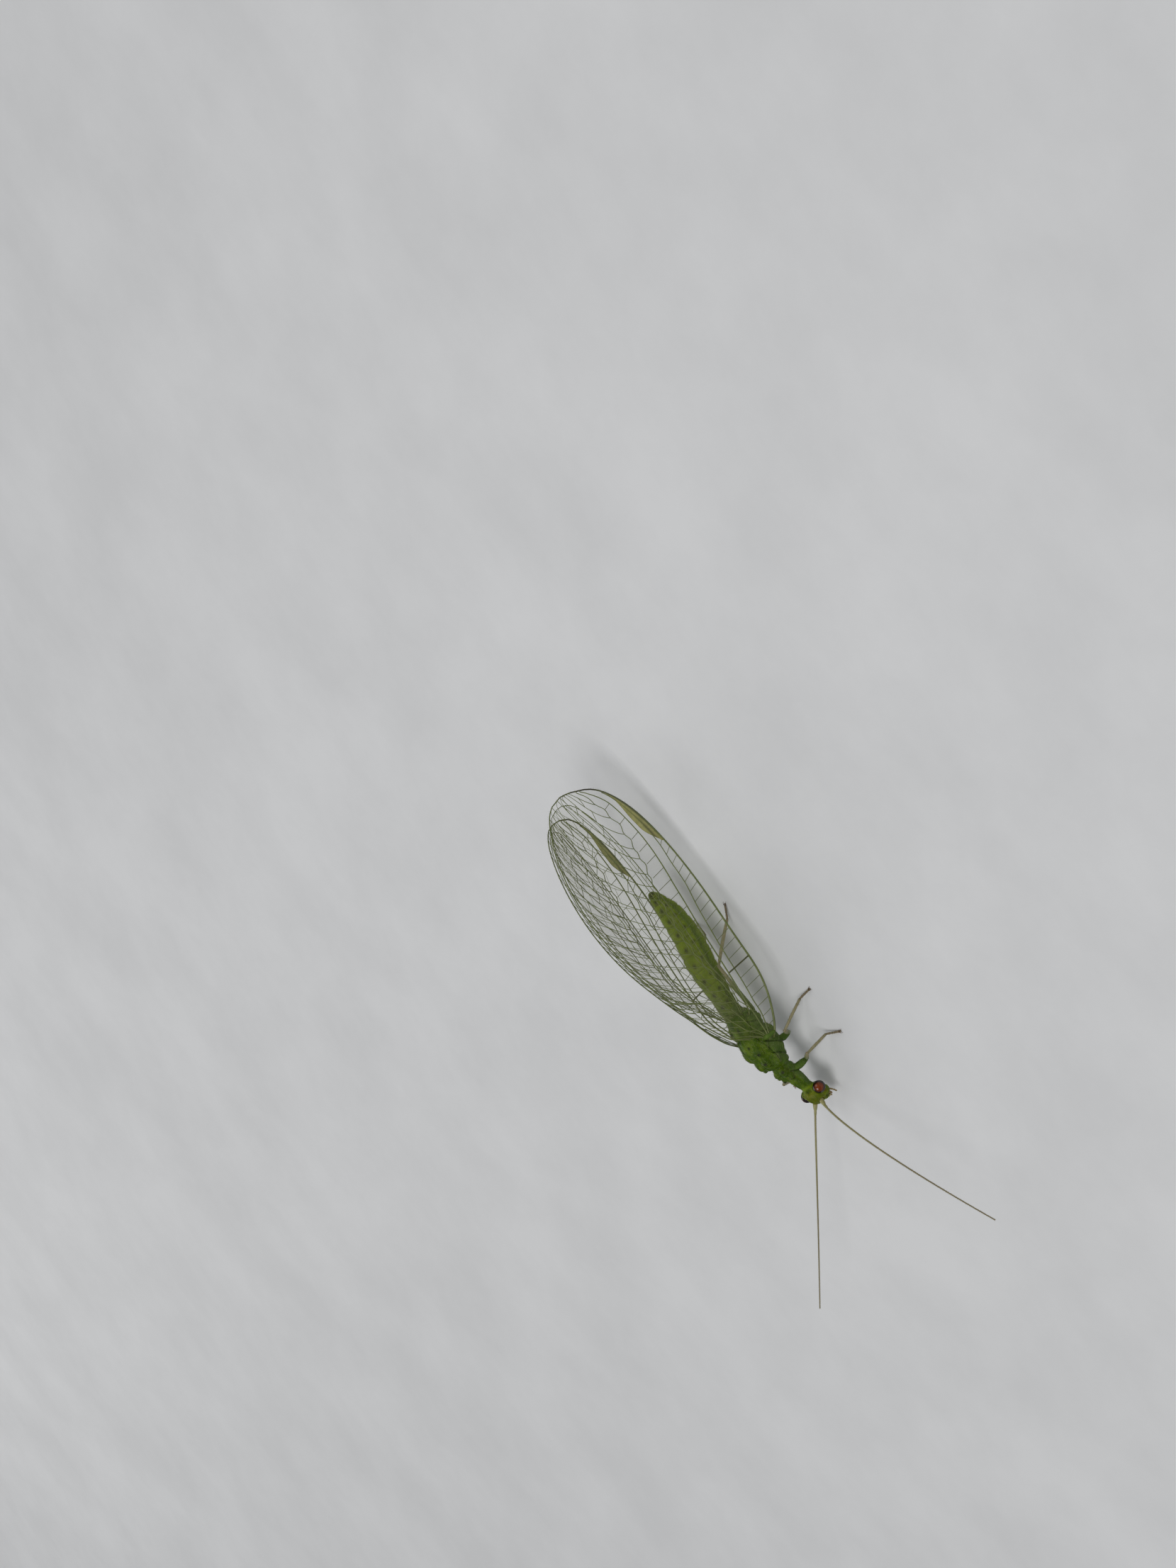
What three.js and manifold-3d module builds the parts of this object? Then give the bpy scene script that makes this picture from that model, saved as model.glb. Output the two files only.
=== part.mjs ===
// A green lacewing at rest, life size, in millimetres.
// +X points to the head, +Y to the animal's left and +Z up, and the feet stand at Z = 0.
import * as THREE from "three";
import { mergeVertices } from "three/addons/utils/BufferGeometryUtils.js";
import Module from "manifold-3d";

const wasm = await Module();
wasm.setup();

// Driving sizes shared by all pieces
const PARTING_GAP = 0.22; // between two pieces that meet
const LIMB_RADIUS = 0.24; // half the least thickness of a leg or feeler
const TIP_RADIUS = 0.13;

// Fore and hind wings
const FOREWING = {
  length: 13.4,
  width: 4.74,
  rootX: 0,
  start: 0.022, // share of the length where the plate begins
  fullness: 1.38, // larger values move the widest place towards the tip
  roundness: 0.36,
  costalShare: 0.525, // of the width, below the line from root to tip
  rootHeight: 2.41,
  tipHeight: 3.07,
  heightBow: 0.45,
  rootOffset: 1.35,
  tipOffset: 1.04,
  rootTuck: 0.3, // how far the root bends in to the thorax
  tuckEnd: 0.12, // share of the length
  rootTilt: 50, // degrees from level, across the wing
  fullTilt: 68.5,
  fullTiltFrom: 0.7, // share of the length
  camber: 0.36,
  thickness: 0.48,
  tipThickness: 0.28,
  stations: 27,
  veins: [0.12, 0.21, 0.46, 0.68, 0.87],
};
const RIGHT_REACH = 0.965; // the right fore wing is held a little further forward
const HINDWING = {
  length: 11,
  width: 2.6,
  rootX: -1.75,
  start: 0.035,
  fullness: 1.3,
  roundness: 0.38,
  costalShare: 0.8,
  thickness: 0.46,
  tipThickness: 0.28,
  stations: 23,
  veins: [0.14, 0.45, 0.72],
};
const TIP_FADE = 0.12; // share of a wing's length over which its plate thins to the tip
const LEAST_CHORD = 0.5; // the narrowest width that the camber's slope is worked out for
const VEIN_HEIGHT = 0.09;
const VEIN_HALF_WIDTH = 0.08;
const RIM_WIDTH = 0.12; // the thickened edge round each wing
const LAYER = // from the middle of the fore wing's plate to the middle of the hind wing's
  FOREWING.thickness / 2 + HINDWING.thickness / 2 + PARTING_GAP + VEIN_HEIGHT;

// Body sections from front to back: x, height of the middle, half width, half height
const HEAD_SECTIONS = [
  [2.5, 1.2, 0.28, 0.28],
  [2.68, 1.17, 0.44, 0.42],
  [2.95, 1.12, 0.48, 0.47],
  [3.18, 1.1, 0.44, 0.39],
  [3.36, 1.07, 0.33, 0.29],
  [3.46, 1.05, 0.16, 0.14],
];
const PROTHORAX_SECTIONS = [
  [2.28, 1.3, 0.28, 0.27],
  [1.9, 1.41, 0.4, 0.36],
  [1.5, 1.54, 0.47, 0.45],
  [1.15, 1.65, 0.5, 0.5],
];
const MESOTHORAX_SECTIONS = [
  [0.93, 1.7, 0.54, 0.55],
  [0.5, 1.78, 0.73, 0.74],
  [0.0, 1.86, 0.84, 0.84],
  [-0.4, 1.9, 0.84, 0.84],
  [-0.75, 1.92, 0.8, 0.78],
];
const METATHORAX_SECTIONS = [
  [-0.97, 1.94, 0.76, 0.74],
  [-1.4, 1.98, 0.68, 0.64],
  [-1.8, 2.03, 0.54, 0.52],
  [-2, 2.07, 0.42, 0.44],
];
const ABDOMEN_SECTIONS = [
  [-2.24, 2.1, 0.36, 0.39],
  [-3.2, 2.03, 0.48, 0.5],
  [-4.4, 1.88, 0.55, 0.57],
  [-5.6, 1.7, 0.58, 0.61],
  [-6.6, 1.56, 0.58, 0.61],
  [-7.4, 1.6, 0.48, 0.51],
  [-7.85, 1.74, 0.34, 0.36],
  [-8.12, 1.86, 0.1, 0.12],
];
const ABDOMEN_SEGMENTS = 9;
const SEGMENT_DEPTH = 0.05; // of the radius, at each joint of the abdomen
const BODY_SIDES = 18;
const BODY_STEPS = { head: 8, prothorax: 5, mesothorax: 8, metathorax: 5 };

// Eyes, feelers and mouth
const EYE = { x: 2.75, y: 0.62, z: 1.14, radius: 0.3, innerFace: 0.68 };
const ANTENNA = {
  socket: [3.23, 0.27, 1.21],
  start: 0.05, // share of the length that lies inside the head
  spread: 7.27,
  spreadPower: 1.11, // above 1 the feeler bends outwards along its length
  rise: 1.46,
  risePower: 0.69, // below 1 it rises most near the head
  taperPower: 0.7,
  steps: 22,
};
const ANTENNA_REACH = { left: 7.3, right: 7.75 };
const MOUTH = { top: [3.26, 0, 0.48], tip: [3.43, 0, 0.23], radius: 0.25, tipShare: 0.55 };

// Legs of the left side: where the coxa, hip, knee, ankle and toe lie
const LEGS = {
  front: {
    coxa: [1.55, 0.3, 0.78],
    hip: [1.5, 0.72, 0.62],
    knee: [1.22, 1.6, 1.3],
    ankle: [1.04, 1.95, 0.2],
    toe: [1.25, 2.65, 0.1],
  },
  middle: {
    coxa: [0.2, 0.4, 0.68],
    hip: [0.15, 0.8, 0.6],
    knee: [-0.1, 1.42, 1.42],
    ankle: [-0.8, 1.95, 0.2],
    toe: [-0.9, 2.65, 0.1],
  },
  hind: {
    coxa: [-1.35, 0.4, 0.95],
    hip: [-1.7, 0.62, 0.62],
    knee: [-3.9, 0.95, 0.85],
    ankle: [-5.05, 1.1, 0.2],
    toe: [-5.8, 1.35, 0.1],
  },
};
// The right front leg reaches further forward
const RIGHT_FRONT_LEG = {
  ...LEGS.front,
  knee: [1.86, 1.45, 1.2],
  ankle: [2.0, 1.95, 0.2],
  toe: [2.3, 2.6, 0.1],
};
const FEMUR_SWELL = 0.03;
const KNEE_ROOM = 0.62; // a straight length that takes the slant of a mitred end
const LIMB_SIDES = 8;
const SHORT_STEPS = 2; // rings along a short straight length

const material = (color, roughness, extra = {}) =>
  new THREE.MeshStandardMaterial({ color, roughness, metalness: 0, ...extra });
const bodyGreen = material(0x5f8a35, 0.55);
const headGreen = material(0x9aac3e, 0.5);
const limbGreen = material(0x9fa578, 0.6);
const feelerTan = material(0x9a9076, 0.6);
const eyeAmber = material(0x7a3d12, 0.2);
const wingClear = material(0xc9d2b4, 0.25, {
  transparent: true,
  opacity: 0.45,
});

const vec = (p) => new THREE.Vector3(...p);

// A closed skin over rings of equal length, with a fan at each end
function skinOver(rings) {
  const sides = rings[0].length;
  const points = rings.flat();
  const faces = [];
  for (let i = 0; i + 1 < rings.length; i++)
    for (let j = 0; j < sides; j++) {
      const a = i * sides + j;
      const b = i * sides + ((j + 1) % sides);
      faces.push(a, b, b + sides, a, b + sides, a + sides);
    }
  const ends = [0, (rings.length - 1) * sides];
  ends.forEach((first, end) => {
    const middle = new THREE.Vector3();
    for (let j = 0; j < sides; j++)
      middle.addScaledVector(points[first + j], 1 / sides);
    points.push(middle);
    for (let j = 0; j < sides; j++) {
      const pair = [first + j, first + ((j + 1) % sides)];
      faces.push(points.length - 1, ...(end ? pair : pair.reverse()));
    }
  });
  return geometryOf(points, faces);
}

// Triangles turned outward whichever way their rings ran
function geometryOf(points, faces) {
  const geometry = new THREE.BufferGeometry().setFromPoints(points);
  let volume = 0;
  for (let i = 0; i < faces.length; i += 3) {
    const [a, b, c] = faces.slice(i, i + 3).map((k) => points[k]);
    volume += a.dot(new THREE.Vector3().crossVectors(b, c));
  }
  if (volume < 0)
    for (let i = 0; i < faces.length; i += 3)
      [faces[i + 1], faces[i + 2]] = [faces[i + 2], faces[i + 1]];
  geometry.setIndex(faces);
  return geometry;
}

// Values of a table of sections at a share t from its first to its last row
function between(sections, t) {
  const at = t * (sections.length - 1);
  const i = Math.min(Math.floor(at), sections.length - 2);
  const row = (k) => sections[THREE.MathUtils.clamp(k, 0, sections.length - 1)];
  const f = at - i;
  return sections[0].map((_, k) => {
    const [p, a, b, n] = [row(i - 1)[k], row(i)[k], row(i + 1)[k], row(i + 2)[k]];
    return (
      a + 0.5 * f * (b - p + f * (2 * p - 5 * a + 4 * b - n + f * (3 * (a - b) + n - p)))
    );
  });
}

// A body length along X with rounded cross sections
function bodyOf(sections, steps, swell = () => 1) {
  const rings = [];
  for (let i = 0; i <= steps; i++) {
    const [x, z, halfWidth, halfHeight] = between(sections, i / steps);
    const size = swell(i / steps);
    const ring = [];
    for (let j = 0; j < BODY_SIDES; j++) {
      const turn = (2 * Math.PI * j) / BODY_SIDES;
      ring.push(
        new THREE.Vector3(
          x,
          size * halfWidth * Math.cos(turn),
          z + size * halfHeight * Math.sin(turn),
        ),
      );
    }
    rings.push(ring);
  }
  return skinOver(rings);
}

// A round limb through points, with its radius given along it. Each end is square, or mitred to a plane
function limbOf(path, radiusAt, steps, mitres = []) {
  const curve = new THREE.CatmullRomCurve3(path.map(vec), false, "centripetal");
  const up = new THREE.Vector3(0, 0, 1);
  const sides = LIMB_SIDES;
  const rings = [];
  for (let i = 0; i <= steps; i++) {
    const t = i / steps;
    const middle = curve.getPointAt(t);
    const along = curve.getTangentAt(t);
    const side = new THREE.Vector3().crossVectors(up, along).normalize();
    const lift = new THREE.Vector3().crossVectors(along, side);
    const ring = [];
    for (let j = 0; j < sides; j++) {
      const turn = (2 * Math.PI * (j + 0.5)) / sides;
      ring.push(
        middle
          .clone()
          .addScaledVector(side, radiusAt(t) * Math.cos(turn))
          .addScaledVector(lift, radiusAt(t) * Math.sin(turn)),
      );
    }
    const mitre = i === 0 ? mitres[0] : i === steps && mitres[1];
    if (mitre)
      for (const point of ring)
        point.addScaledVector(
          along,
          -mitre.distanceToPoint(point) / mitre.normal.dot(along),
        );
    rings.push(ring);
  }
  return skinOver(rings);
}

// The width of a wing at a share u of its length
const widthAt = (wing, u) =>
  wing.width * Math.sin(Math.PI * u ** wing.fullness) ** wing.roundness;

// The middle of the fore wing's plate and its outward direction at a share u of the length and q of the width
function forewingPlace(u, q) {
  const wing = FOREWING;
  const width = widthAt(wing, u);
  const tiltShare = Math.sin((Math.PI / 2) * Math.min(1, u / wing.fullTiltFrom));
  const tilt = THREE.MathUtils.degToRad(
    THREE.MathUtils.lerp(wing.rootTilt, wing.fullTilt, tiltShare),
  );
  const middle = new THREE.Vector3(
    wing.rootX - wing.length * u,
    THREE.MathUtils.lerp(wing.rootOffset, wing.tipOffset, u) -
      wing.rootTuck * Math.max(0, 1 - u / wing.tuckEnd) ** 2,
    THREE.MathUtils.lerp(wing.rootHeight, wing.tipHeight, u) +
      wing.heightBow * Math.sin(Math.PI * u),
  );
  const across = new THREE.Vector3(0, -Math.cos(tilt), Math.sin(tilt));
  const out = new THREE.Vector3(0, Math.sin(tilt), Math.cos(tilt));
  const bow = wing.camber * (width / wing.width);
  middle
    .addScaledVector(across, (q - wing.costalShare) * width)
    .addScaledVector(out, bow * Math.sin(Math.PI * q));
  const lean = (Math.PI * bow * Math.cos(Math.PI * q)) / Math.max(width, LEAST_CHORD);
  out.addScaledVector(across, -lean).normalize();
  return { middle, out };
}

// The same for the hind wing, which lies under the fore wing as a second layer
function hindwingPlace(v, q) {
  const wing = HINDWING;
  const u = (FOREWING.rootX - wing.rootX + wing.length * v) / FOREWING.length;
  const offset = (q - wing.costalShare) * widthAt(wing, v);
  const under = FOREWING.costalShare + offset / widthAt(FOREWING, u);
  const { middle, out } = forewingPlace(u, under);
  return { middle: middle.addScaledVector(out, -LAYER), out };
}

// The shares across a wing where its rows of points lie, with the height of the ridge at each
function wingRows(wing) {
  const rim = RIM_WIDTH / wing.width;
  const half = VEIN_HALF_WIDTH / wing.width;
  const rows = [
    [0, VEIN_HEIGHT],
    [rim, 0],
  ];
  for (const q of wing.veins) rows.push([q - half, 0], [q, VEIN_HEIGHT], [q + half, 0]);
  rows.push([1 - rim, 0], [1, VEIN_HEIGHT / 2]);
  return rows;
}

// A wing as a thin cambered plate whose main veins stand up as ridges in its outer face
function wingOf(wing, place) {
  const rows = wingRows(wing);
  const top = [];
  const bottom = [];
  for (let i = 0; i < wing.stations; i++) {
    const v = i / wing.stations;
    const bunched = (1 - Math.cos(Math.PI * v)) / 2; // closer together at both ends
    const u = wing.start + ((1 - wing.start) * (v + bunched)) / 2;
    const fine = Math.min(1, (1 - u) / TIP_FADE);
    const half = THREE.MathUtils.lerp(wing.tipThickness, wing.thickness, fine) / 2;
    for (const [q, ridge] of rows) {
      const { middle, out } = place(u, q);
      top.push(middle.clone().addScaledVector(out, half + ridge * fine));
      bottom.push(middle.clone().addScaledVector(out, -half));
    }
  }
  const apex = place(1, wing.costalShare);
  top.push(apex.middle.clone().addScaledVector(apex.out, wing.tipThickness / 2));
  bottom.push(apex.middle.clone().addScaledVector(apex.out, -wing.tipThickness / 2));

  const points = [...top, ...bottom];
  const lower = top.length;
  const count = rows.length;
  const faces = [];
  const both = (a, b, c) => faces.push(a, b, c, lower + a, lower + c, lower + b);
  const wall = (a, b) => faces.push(a, lower + b, b, a, lower + a, lower + b);
  const last = (wing.stations - 1) * count;
  const tip = wing.stations * count;
  for (let i = 0; i + 1 < wing.stations; i++)
    for (let j = 0; j + 1 < count; j++) {
      const a = i * count + j;
      both(a, a + 1, a + count + 1);
      both(a, a + count + 1, a + count);
    }
  for (let j = 0; j + 1 < count; j++) {
    both(last + j, last + j + 1, tip);
    wall(j, j + 1);
  }
  for (let i = 0; i + 1 < wing.stations; i++) {
    wall((i + 1) * count, i * count);
    wall(i * count + count - 1, (i + 1) * count + count - 1);
  }
  wall(tip, last);
  wall(last + count - 1, tip);
  return geometryOf(points, faces);
}

// The same shape on the animal's right side
function mirror(geometry) {
  const other = geometry.clone().scale(1, -1, 1);
  const faces = [...other.index.array];
  for (let i = 0; i < faces.length; i += 3)
    [faces[i + 1], faces[i + 2]] = [faces[i + 2], faces[i + 1]];
  other.setIndex(faces);
  return other;
}

// Booleans on closed meshes
function solidOf(geometry) {
  const bare = geometry.clone();
  bare.deleteAttribute("normal");
  bare.deleteAttribute("uv");
  const merged = mergeVertices(bare, 1e-5);
  return new wasm.Manifold(
    new wasm.Mesh({
      numProp: 3,
      vertProperties: merged.attributes.position.array,
      triVerts: new Uint32Array(merged.index.array),
    }),
  );
}

function geometryFrom(solid) {
  const largest = solid.decompose().sort((a, b) => b.volume() - a.volume())[0];
  const mesh = largest.getMesh();
  const geometry = new THREE.BufferGeometry();
  geometry.setAttribute("position", new THREE.BufferAttribute(mesh.vertProperties, 3));
  geometry.setIndex(new THREE.BufferAttribute(mesh.triVerts, 1));
  return geometry;
}

const cutBy = (part, tool) => geometryFrom(solidOf(part).subtract(solidOf(tool)));

// The eye is a ball that ends in a flat face beside the head
function eye() {
  const ball = new THREE.SphereGeometry(EYE.radius, 16, 12);
  ball.translate(EYE.x, EYE.y, EYE.z);
  const side = 4 * EYE.radius;
  const inner = new THREE.BoxGeometry(side, side, side);
  inner.translate(EYE.x, EYE.innerFace - side / 2, EYE.z);
  return cutBy(ball, inner);
}

function antenna(side, reach) {
  const [x, y, z] = ANTENNA.socket;
  const path = [0, 0.12, 0.3, 0.55, 0.8, 1].map((share) => {
    const t = THREE.MathUtils.lerp(ANTENNA.start, 1, share);
    return [
      x + reach * t,
      side * (y + ANTENNA.spread * t ** ANTENNA.spreadPower),
      z + ANTENNA.rise * t ** ANTENNA.risePower,
    ];
  });
  const radius = (t) =>
    THREE.MathUtils.lerp(LIMB_RADIUS, TIP_RADIUS, t ** ANTENNA.taperPower);
  return limbOf(path, radius, ANTENNA.steps);
}

function mouthparts() {
  const taper = (t) => MOUTH.radius * THREE.MathUtils.lerp(1, MOUTH.tipShare, t);
  return limbOf([MOUTH.top, MOUTH.tip], taper, SHORT_STEPS);
}

function abdomen() {
  const swell = (t) => {
    const wave = Math.abs(Math.sin(Math.PI * ABDOMEN_SEGMENTS * t));
    return 1 - SEGMENT_DEPTH * (1 - Math.sqrt(wave));
  };
  return bodyOf(ABDOMEN_SECTIONS, 3 * ABDOMEN_SEGMENTS, swell);
}

// The two parallel faces that part a limb where it bends from one point by way of a joint to the next
function partedAt(from, joint, to) {
  const along = (start, end) => vec(end).sub(vec(start)).normalize();
  const normal = along(from, joint).add(along(joint, to)).normalize();
  return [-0.5, 0.5].map((share) =>
    new THREE.Plane().setFromNormalAndCoplanarPoint(
      normal,
      vec(joint).addScaledVector(normal, share * PARTING_GAP),
    ),
  );
}

// The three lengths of a leg, parted at the knee and the ankle, with a flat under the foot
function leg({ coxa, hip, knee, ankle, toe }) {
  const [femurEnd, tibiaStart] = partedAt(hip, knee, ankle);
  const [tibiaEnd, footStart] = partedAt(knee, ankle, toe);
  const thick = (t) => LIMB_RADIUS + FEMUR_SWELL * Math.sin(Math.PI * t);
  const taper = (t) => THREE.MathUtils.lerp(LIMB_RADIUS, TIP_RADIUS, t ** 2);
  const femurLength = vec(coxa).distanceTo(vec(hip)) + vec(hip).distanceTo(vec(knee));
  const steps = Math.floor(femurLength / KNEE_ROOM);
  const femur = limbOf([coxa, hip, knee], thick, steps, [null, femurEnd]);
  const shin = () => LIMB_RADIUS;
  const tibia = limbOf([knee, ankle], shin, SHORT_STEPS, [tibiaStart, tibiaEnd]);
  const tarsus = limbOf([ankle, toe], taper, SHORT_STEPS, [footStart, null]);
  const corners = tarsus.getAttribute("position");
  for (let i = 0; i < corners.count; i++) corners.setZ(i, Math.max(0, corners.getZ(i)));
  return { femur, tibia, tarsus };
}

// The whole animal
const lacewing = new THREE.Group();
function add(name, geometry, look) {
  const mesh = new THREE.Mesh(geometry, look);
  mesh.name = name;
  lacewing.add(mesh);
}
function addPair(name, geometry, look, rightReach = 1) {
  add(`${name}_left`, geometry, look);
  add(`${name}_right`, mirror(geometry).scale(rightReach, 1, 1), look);
}

add("head", bodyOf(HEAD_SECTIONS, BODY_STEPS.head), headGreen);
add("mouthparts", mouthparts(), headGreen);
addPair("eye", eye(), eyeAmber);
add("antenna_left", antenna(1, ANTENNA_REACH.left), feelerTan);
add("antenna_right", antenna(-1, ANTENNA_REACH.right), feelerTan);
add("prothorax", bodyOf(PROTHORAX_SECTIONS, BODY_STEPS.prothorax), bodyGreen);
add("mesothorax", bodyOf(MESOTHORAX_SECTIONS, BODY_STEPS.mesothorax), bodyGreen);
add("metathorax", bodyOf(METATHORAX_SECTIONS, BODY_STEPS.metathorax), bodyGreen);
add("abdomen", abdomen(), bodyGreen);
const forewing = wingOf(FOREWING, forewingPlace);
const hindwing = wingOf(HINDWING, hindwingPlace);
addPair("forewing", forewing, wingClear, RIGHT_REACH);
addPair("hindwing", hindwing, wingClear, RIGHT_REACH);
for (const [place, points] of Object.entries(LEGS)) {
  const left = leg(points);
  const right = place === "front" ? leg(RIGHT_FRONT_LEG) : left;
  for (const length of Object.keys(left)) {
    add(`leg_${place}_${length}_left`, left[length], limbGreen);
    add(`leg_${place}_${length}_right`, mirror(right[length]), limbGreen);
  }
}

// The origin lies on the floor below the middle of the whole outline
const outline = new THREE.Box3().setFromObject(lacewing, true);
const centre = outline.getCenter(new THREE.Vector3());
const placed = new THREE.Group();
lacewing.position.set(-centre.x, -centre.y, -outline.min.z);
placed.add(lacewing);

export default placed;
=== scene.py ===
from itertools import pairwise
from math import atan2, cos, exp, pi, radians, sin

import bmesh
import bpy
import numpy as np
from mathutils import Matrix, Vector


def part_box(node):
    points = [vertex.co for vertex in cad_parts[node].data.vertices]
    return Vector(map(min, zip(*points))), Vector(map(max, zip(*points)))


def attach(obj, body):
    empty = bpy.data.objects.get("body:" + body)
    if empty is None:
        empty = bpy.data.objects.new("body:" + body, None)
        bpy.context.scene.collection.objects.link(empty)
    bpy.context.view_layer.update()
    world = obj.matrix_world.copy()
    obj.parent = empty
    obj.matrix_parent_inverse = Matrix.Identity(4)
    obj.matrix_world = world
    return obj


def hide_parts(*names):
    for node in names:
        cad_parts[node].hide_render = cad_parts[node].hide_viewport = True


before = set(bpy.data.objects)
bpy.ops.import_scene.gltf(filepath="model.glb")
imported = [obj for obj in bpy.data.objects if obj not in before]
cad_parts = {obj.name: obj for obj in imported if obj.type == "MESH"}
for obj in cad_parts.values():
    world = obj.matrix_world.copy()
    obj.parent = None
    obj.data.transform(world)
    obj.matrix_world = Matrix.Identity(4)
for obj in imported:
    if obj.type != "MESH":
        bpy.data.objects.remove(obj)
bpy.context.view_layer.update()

# Everything below is measured in millimetres from the middle of the wing bases:
# x to the head, y to the insect's left, z up from the floor.
MM = 0.001
MESOTHORAX_FRONT = 0.93
thorax_low, thorax_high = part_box("mesothorax")
SHIFT = np.array([
    thorax_high[0] / MM - MESOTHORAX_FRONT,
    (thorax_low[1] + thorax_high[1]) / 2 / MM,
    0.0,
])
LEFT, RIGHT = 1, -1
SIDES = ((LEFT, "left"), (RIGHT, "right"))
FULL_TURN = 2 * pi
rng = np.random.default_rng(11)


# Small helpers

def smooth(low, high, x):
    t = np.clip((np.asarray(x, float) - low) / (high - low), 0, 1)
    return t * t * (3 - 2 * t)


def bell(x, centre, width):
    return np.exp(-(((np.asarray(x, float) - centre) / width) ** 2))


def unit(v):
    v = np.asarray(v, float)
    return v / np.maximum(np.linalg.norm(v, axis=-1, keepdims=True), 1e-12)


def curve(points):
    """A smooth function through (x, y) points."""
    x, y = np.array(points, float).T
    slope = np.gradient(y, x)

    def at(t):
        t = np.clip(t, x[0], x[-1])
        k = np.clip(np.searchsorted(x, t) - 1, 0, len(x) - 2)
        span = x[k + 1] - x[k]
        s = (t - x[k]) / span
        return (
            (1 + 2 * s) * (1 - s) ** 2 * y[k]
            + s * (1 - s) ** 2 * span * slope[k]
            + s * s * (3 - 2 * s) * y[k + 1]
            + s * s * (s - 1) * span * slope[k + 1]
        )
    return at


def path_through(points, count):
    """A smooth path of count points through a few points in space."""
    points = np.array(points, float)
    length = np.concatenate([[0], np.cumsum(np.linalg.norm(np.diff(points, axis=0), axis=1))])
    t = np.linspace(0, length[-1], count)
    return np.stack([curve(np.stack([length, points[:, k]], 1))(t) for k in range(3)], 1)


class Mesh:
    """Vertices, faces and per-vertex tones that are gathered into one piece."""

    def __init__(self):
        self.points, self.faces, self.tones, self.uvs = [], [], [], []
        self.count = 0

    def add(self, points, faces, tone=0.0, uv=(0.0, 0.0)):
        points = np.asarray(points, float)
        self.points.append(points)
        self.faces += [tuple(i + self.count for i in f) for f in faces]
        self.tones.append(np.broadcast_to(np.asarray(tone, float), (len(points),)))
        self.uvs.append(np.broadcast_to(np.asarray(uv, float), (len(points), 2)))
        self.count += len(points)

    def data(self, name):
        mesh = bpy.data.meshes.new(name)
        mesh.from_pydata(np.concatenate(self.points).tolist(), [], self.faces)
        return mesh


def side_vectors(path):
    """For each point of a path its direction and two side vectors that don't twist."""
    ahead = unit(np.gradient(path, axis=0))
    last = np.array([0, 0, 1.0]) if abs(ahead[0][2]) < 0.9 else np.array([1.0, 0, 0])
    sides = []
    for d in ahead:
        last = unit(last - d * last.dot(d))
        sides.append(last)
    return ahead, np.array(sides), np.cross(ahead, sides)


def square_axes(axis):
    """Two directions square to an axis."""
    side = unit(np.cross(axis, [0.3, 0.2, 1.0]))
    return side, np.cross(axis, side)


def rotation(angle, axis):
    return np.array(Matrix.Rotation(radians(angle), 3, axis))


def ring_angles(sides):
    return np.arange(sides) * FULL_TURN / sides


def ring_faces(rows, sides):
    """The faces between rings of corners, closed by the two points that follow them."""
    faces = []
    for i in range(rows - 1):
        for j in range(sides):
            k = (j + 1) % sides
            faces.append((i * sides + j, i * sides + k, (i + 1) * sides + k, (i + 1) * sides + j))
    start, last = rows * sides, (rows - 1) * sides
    for j in range(sides):
        k = (j + 1) % sides
        faces += [(start, k, j), (start + 1, last + j, last + k)]
    return faces


def tube(mesh, path, radius, sides=6, tone=0.0, round_ends=True, uv=(0.0, 0.0)):
    """A round tube along a path, closed at both ends."""
    path = np.asarray(path, float)
    ahead, up, across = side_vectors(path)
    radius = np.broadcast_to(np.asarray(radius, float), (len(path),))
    turn = ring_angles(sides)
    ring = (
        path[:, None]
        + up[:, None] * (radius[:, None] * np.cos(turn))[..., None]
        + across[:, None] * (radius[:, None] * np.sin(turn))[..., None]
    )
    cap = 0.6 if round_ends else 0.0
    ends = [path[0] - ahead[0] * radius[0] * cap, path[-1] + ahead[-1] * radius[-1] * cap]
    tones = np.broadcast_to(np.asarray(tone, float), (len(path),))
    tones = np.concatenate([np.repeat(tones, sides), [tones[0], tones[-1]]])
    mesh.add(np.concatenate([ring.reshape(-1, 3), ends]), ring_faces(len(path), sides), tones, uv)


def ball(mesh, centre, radii, lean=0, roll=0, tone=0.0, rings=16, sides=24):
    """An ellipsoid, tipped forward by lean and turned about x by roll, in degrees."""
    lat = np.linspace(0, pi, rings + 1)[1:-1, None]
    lon = ring_angles(sides)
    grid = np.stack([np.sin(lat) * np.cos(lon), np.sin(lat) * np.sin(lon), np.cos(lat) + 0 * lon], -1)
    points = np.concatenate([grid.reshape(-1, 3), [[0, 0, 1], [0, 0, -1]]]) * radii
    turn = rotation(lean, "Y") @ rotation(roll, "X")
    faces = [face[:1] + face[:0:-1] for face in ring_faces(rings - 1, sides)]
    mesh.add(points @ turn.T + centre, faces, tone)


def read_vectors(items, key):
    values = np.empty(len(items) * 3)
    items.foreach_get(key, values)
    return values.reshape(-1, 3)


def add_object(name, data):
    obj = bpy.data.objects.new(name, data)
    bpy.context.scene.collection.objects.link(obj)
    return obj


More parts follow.
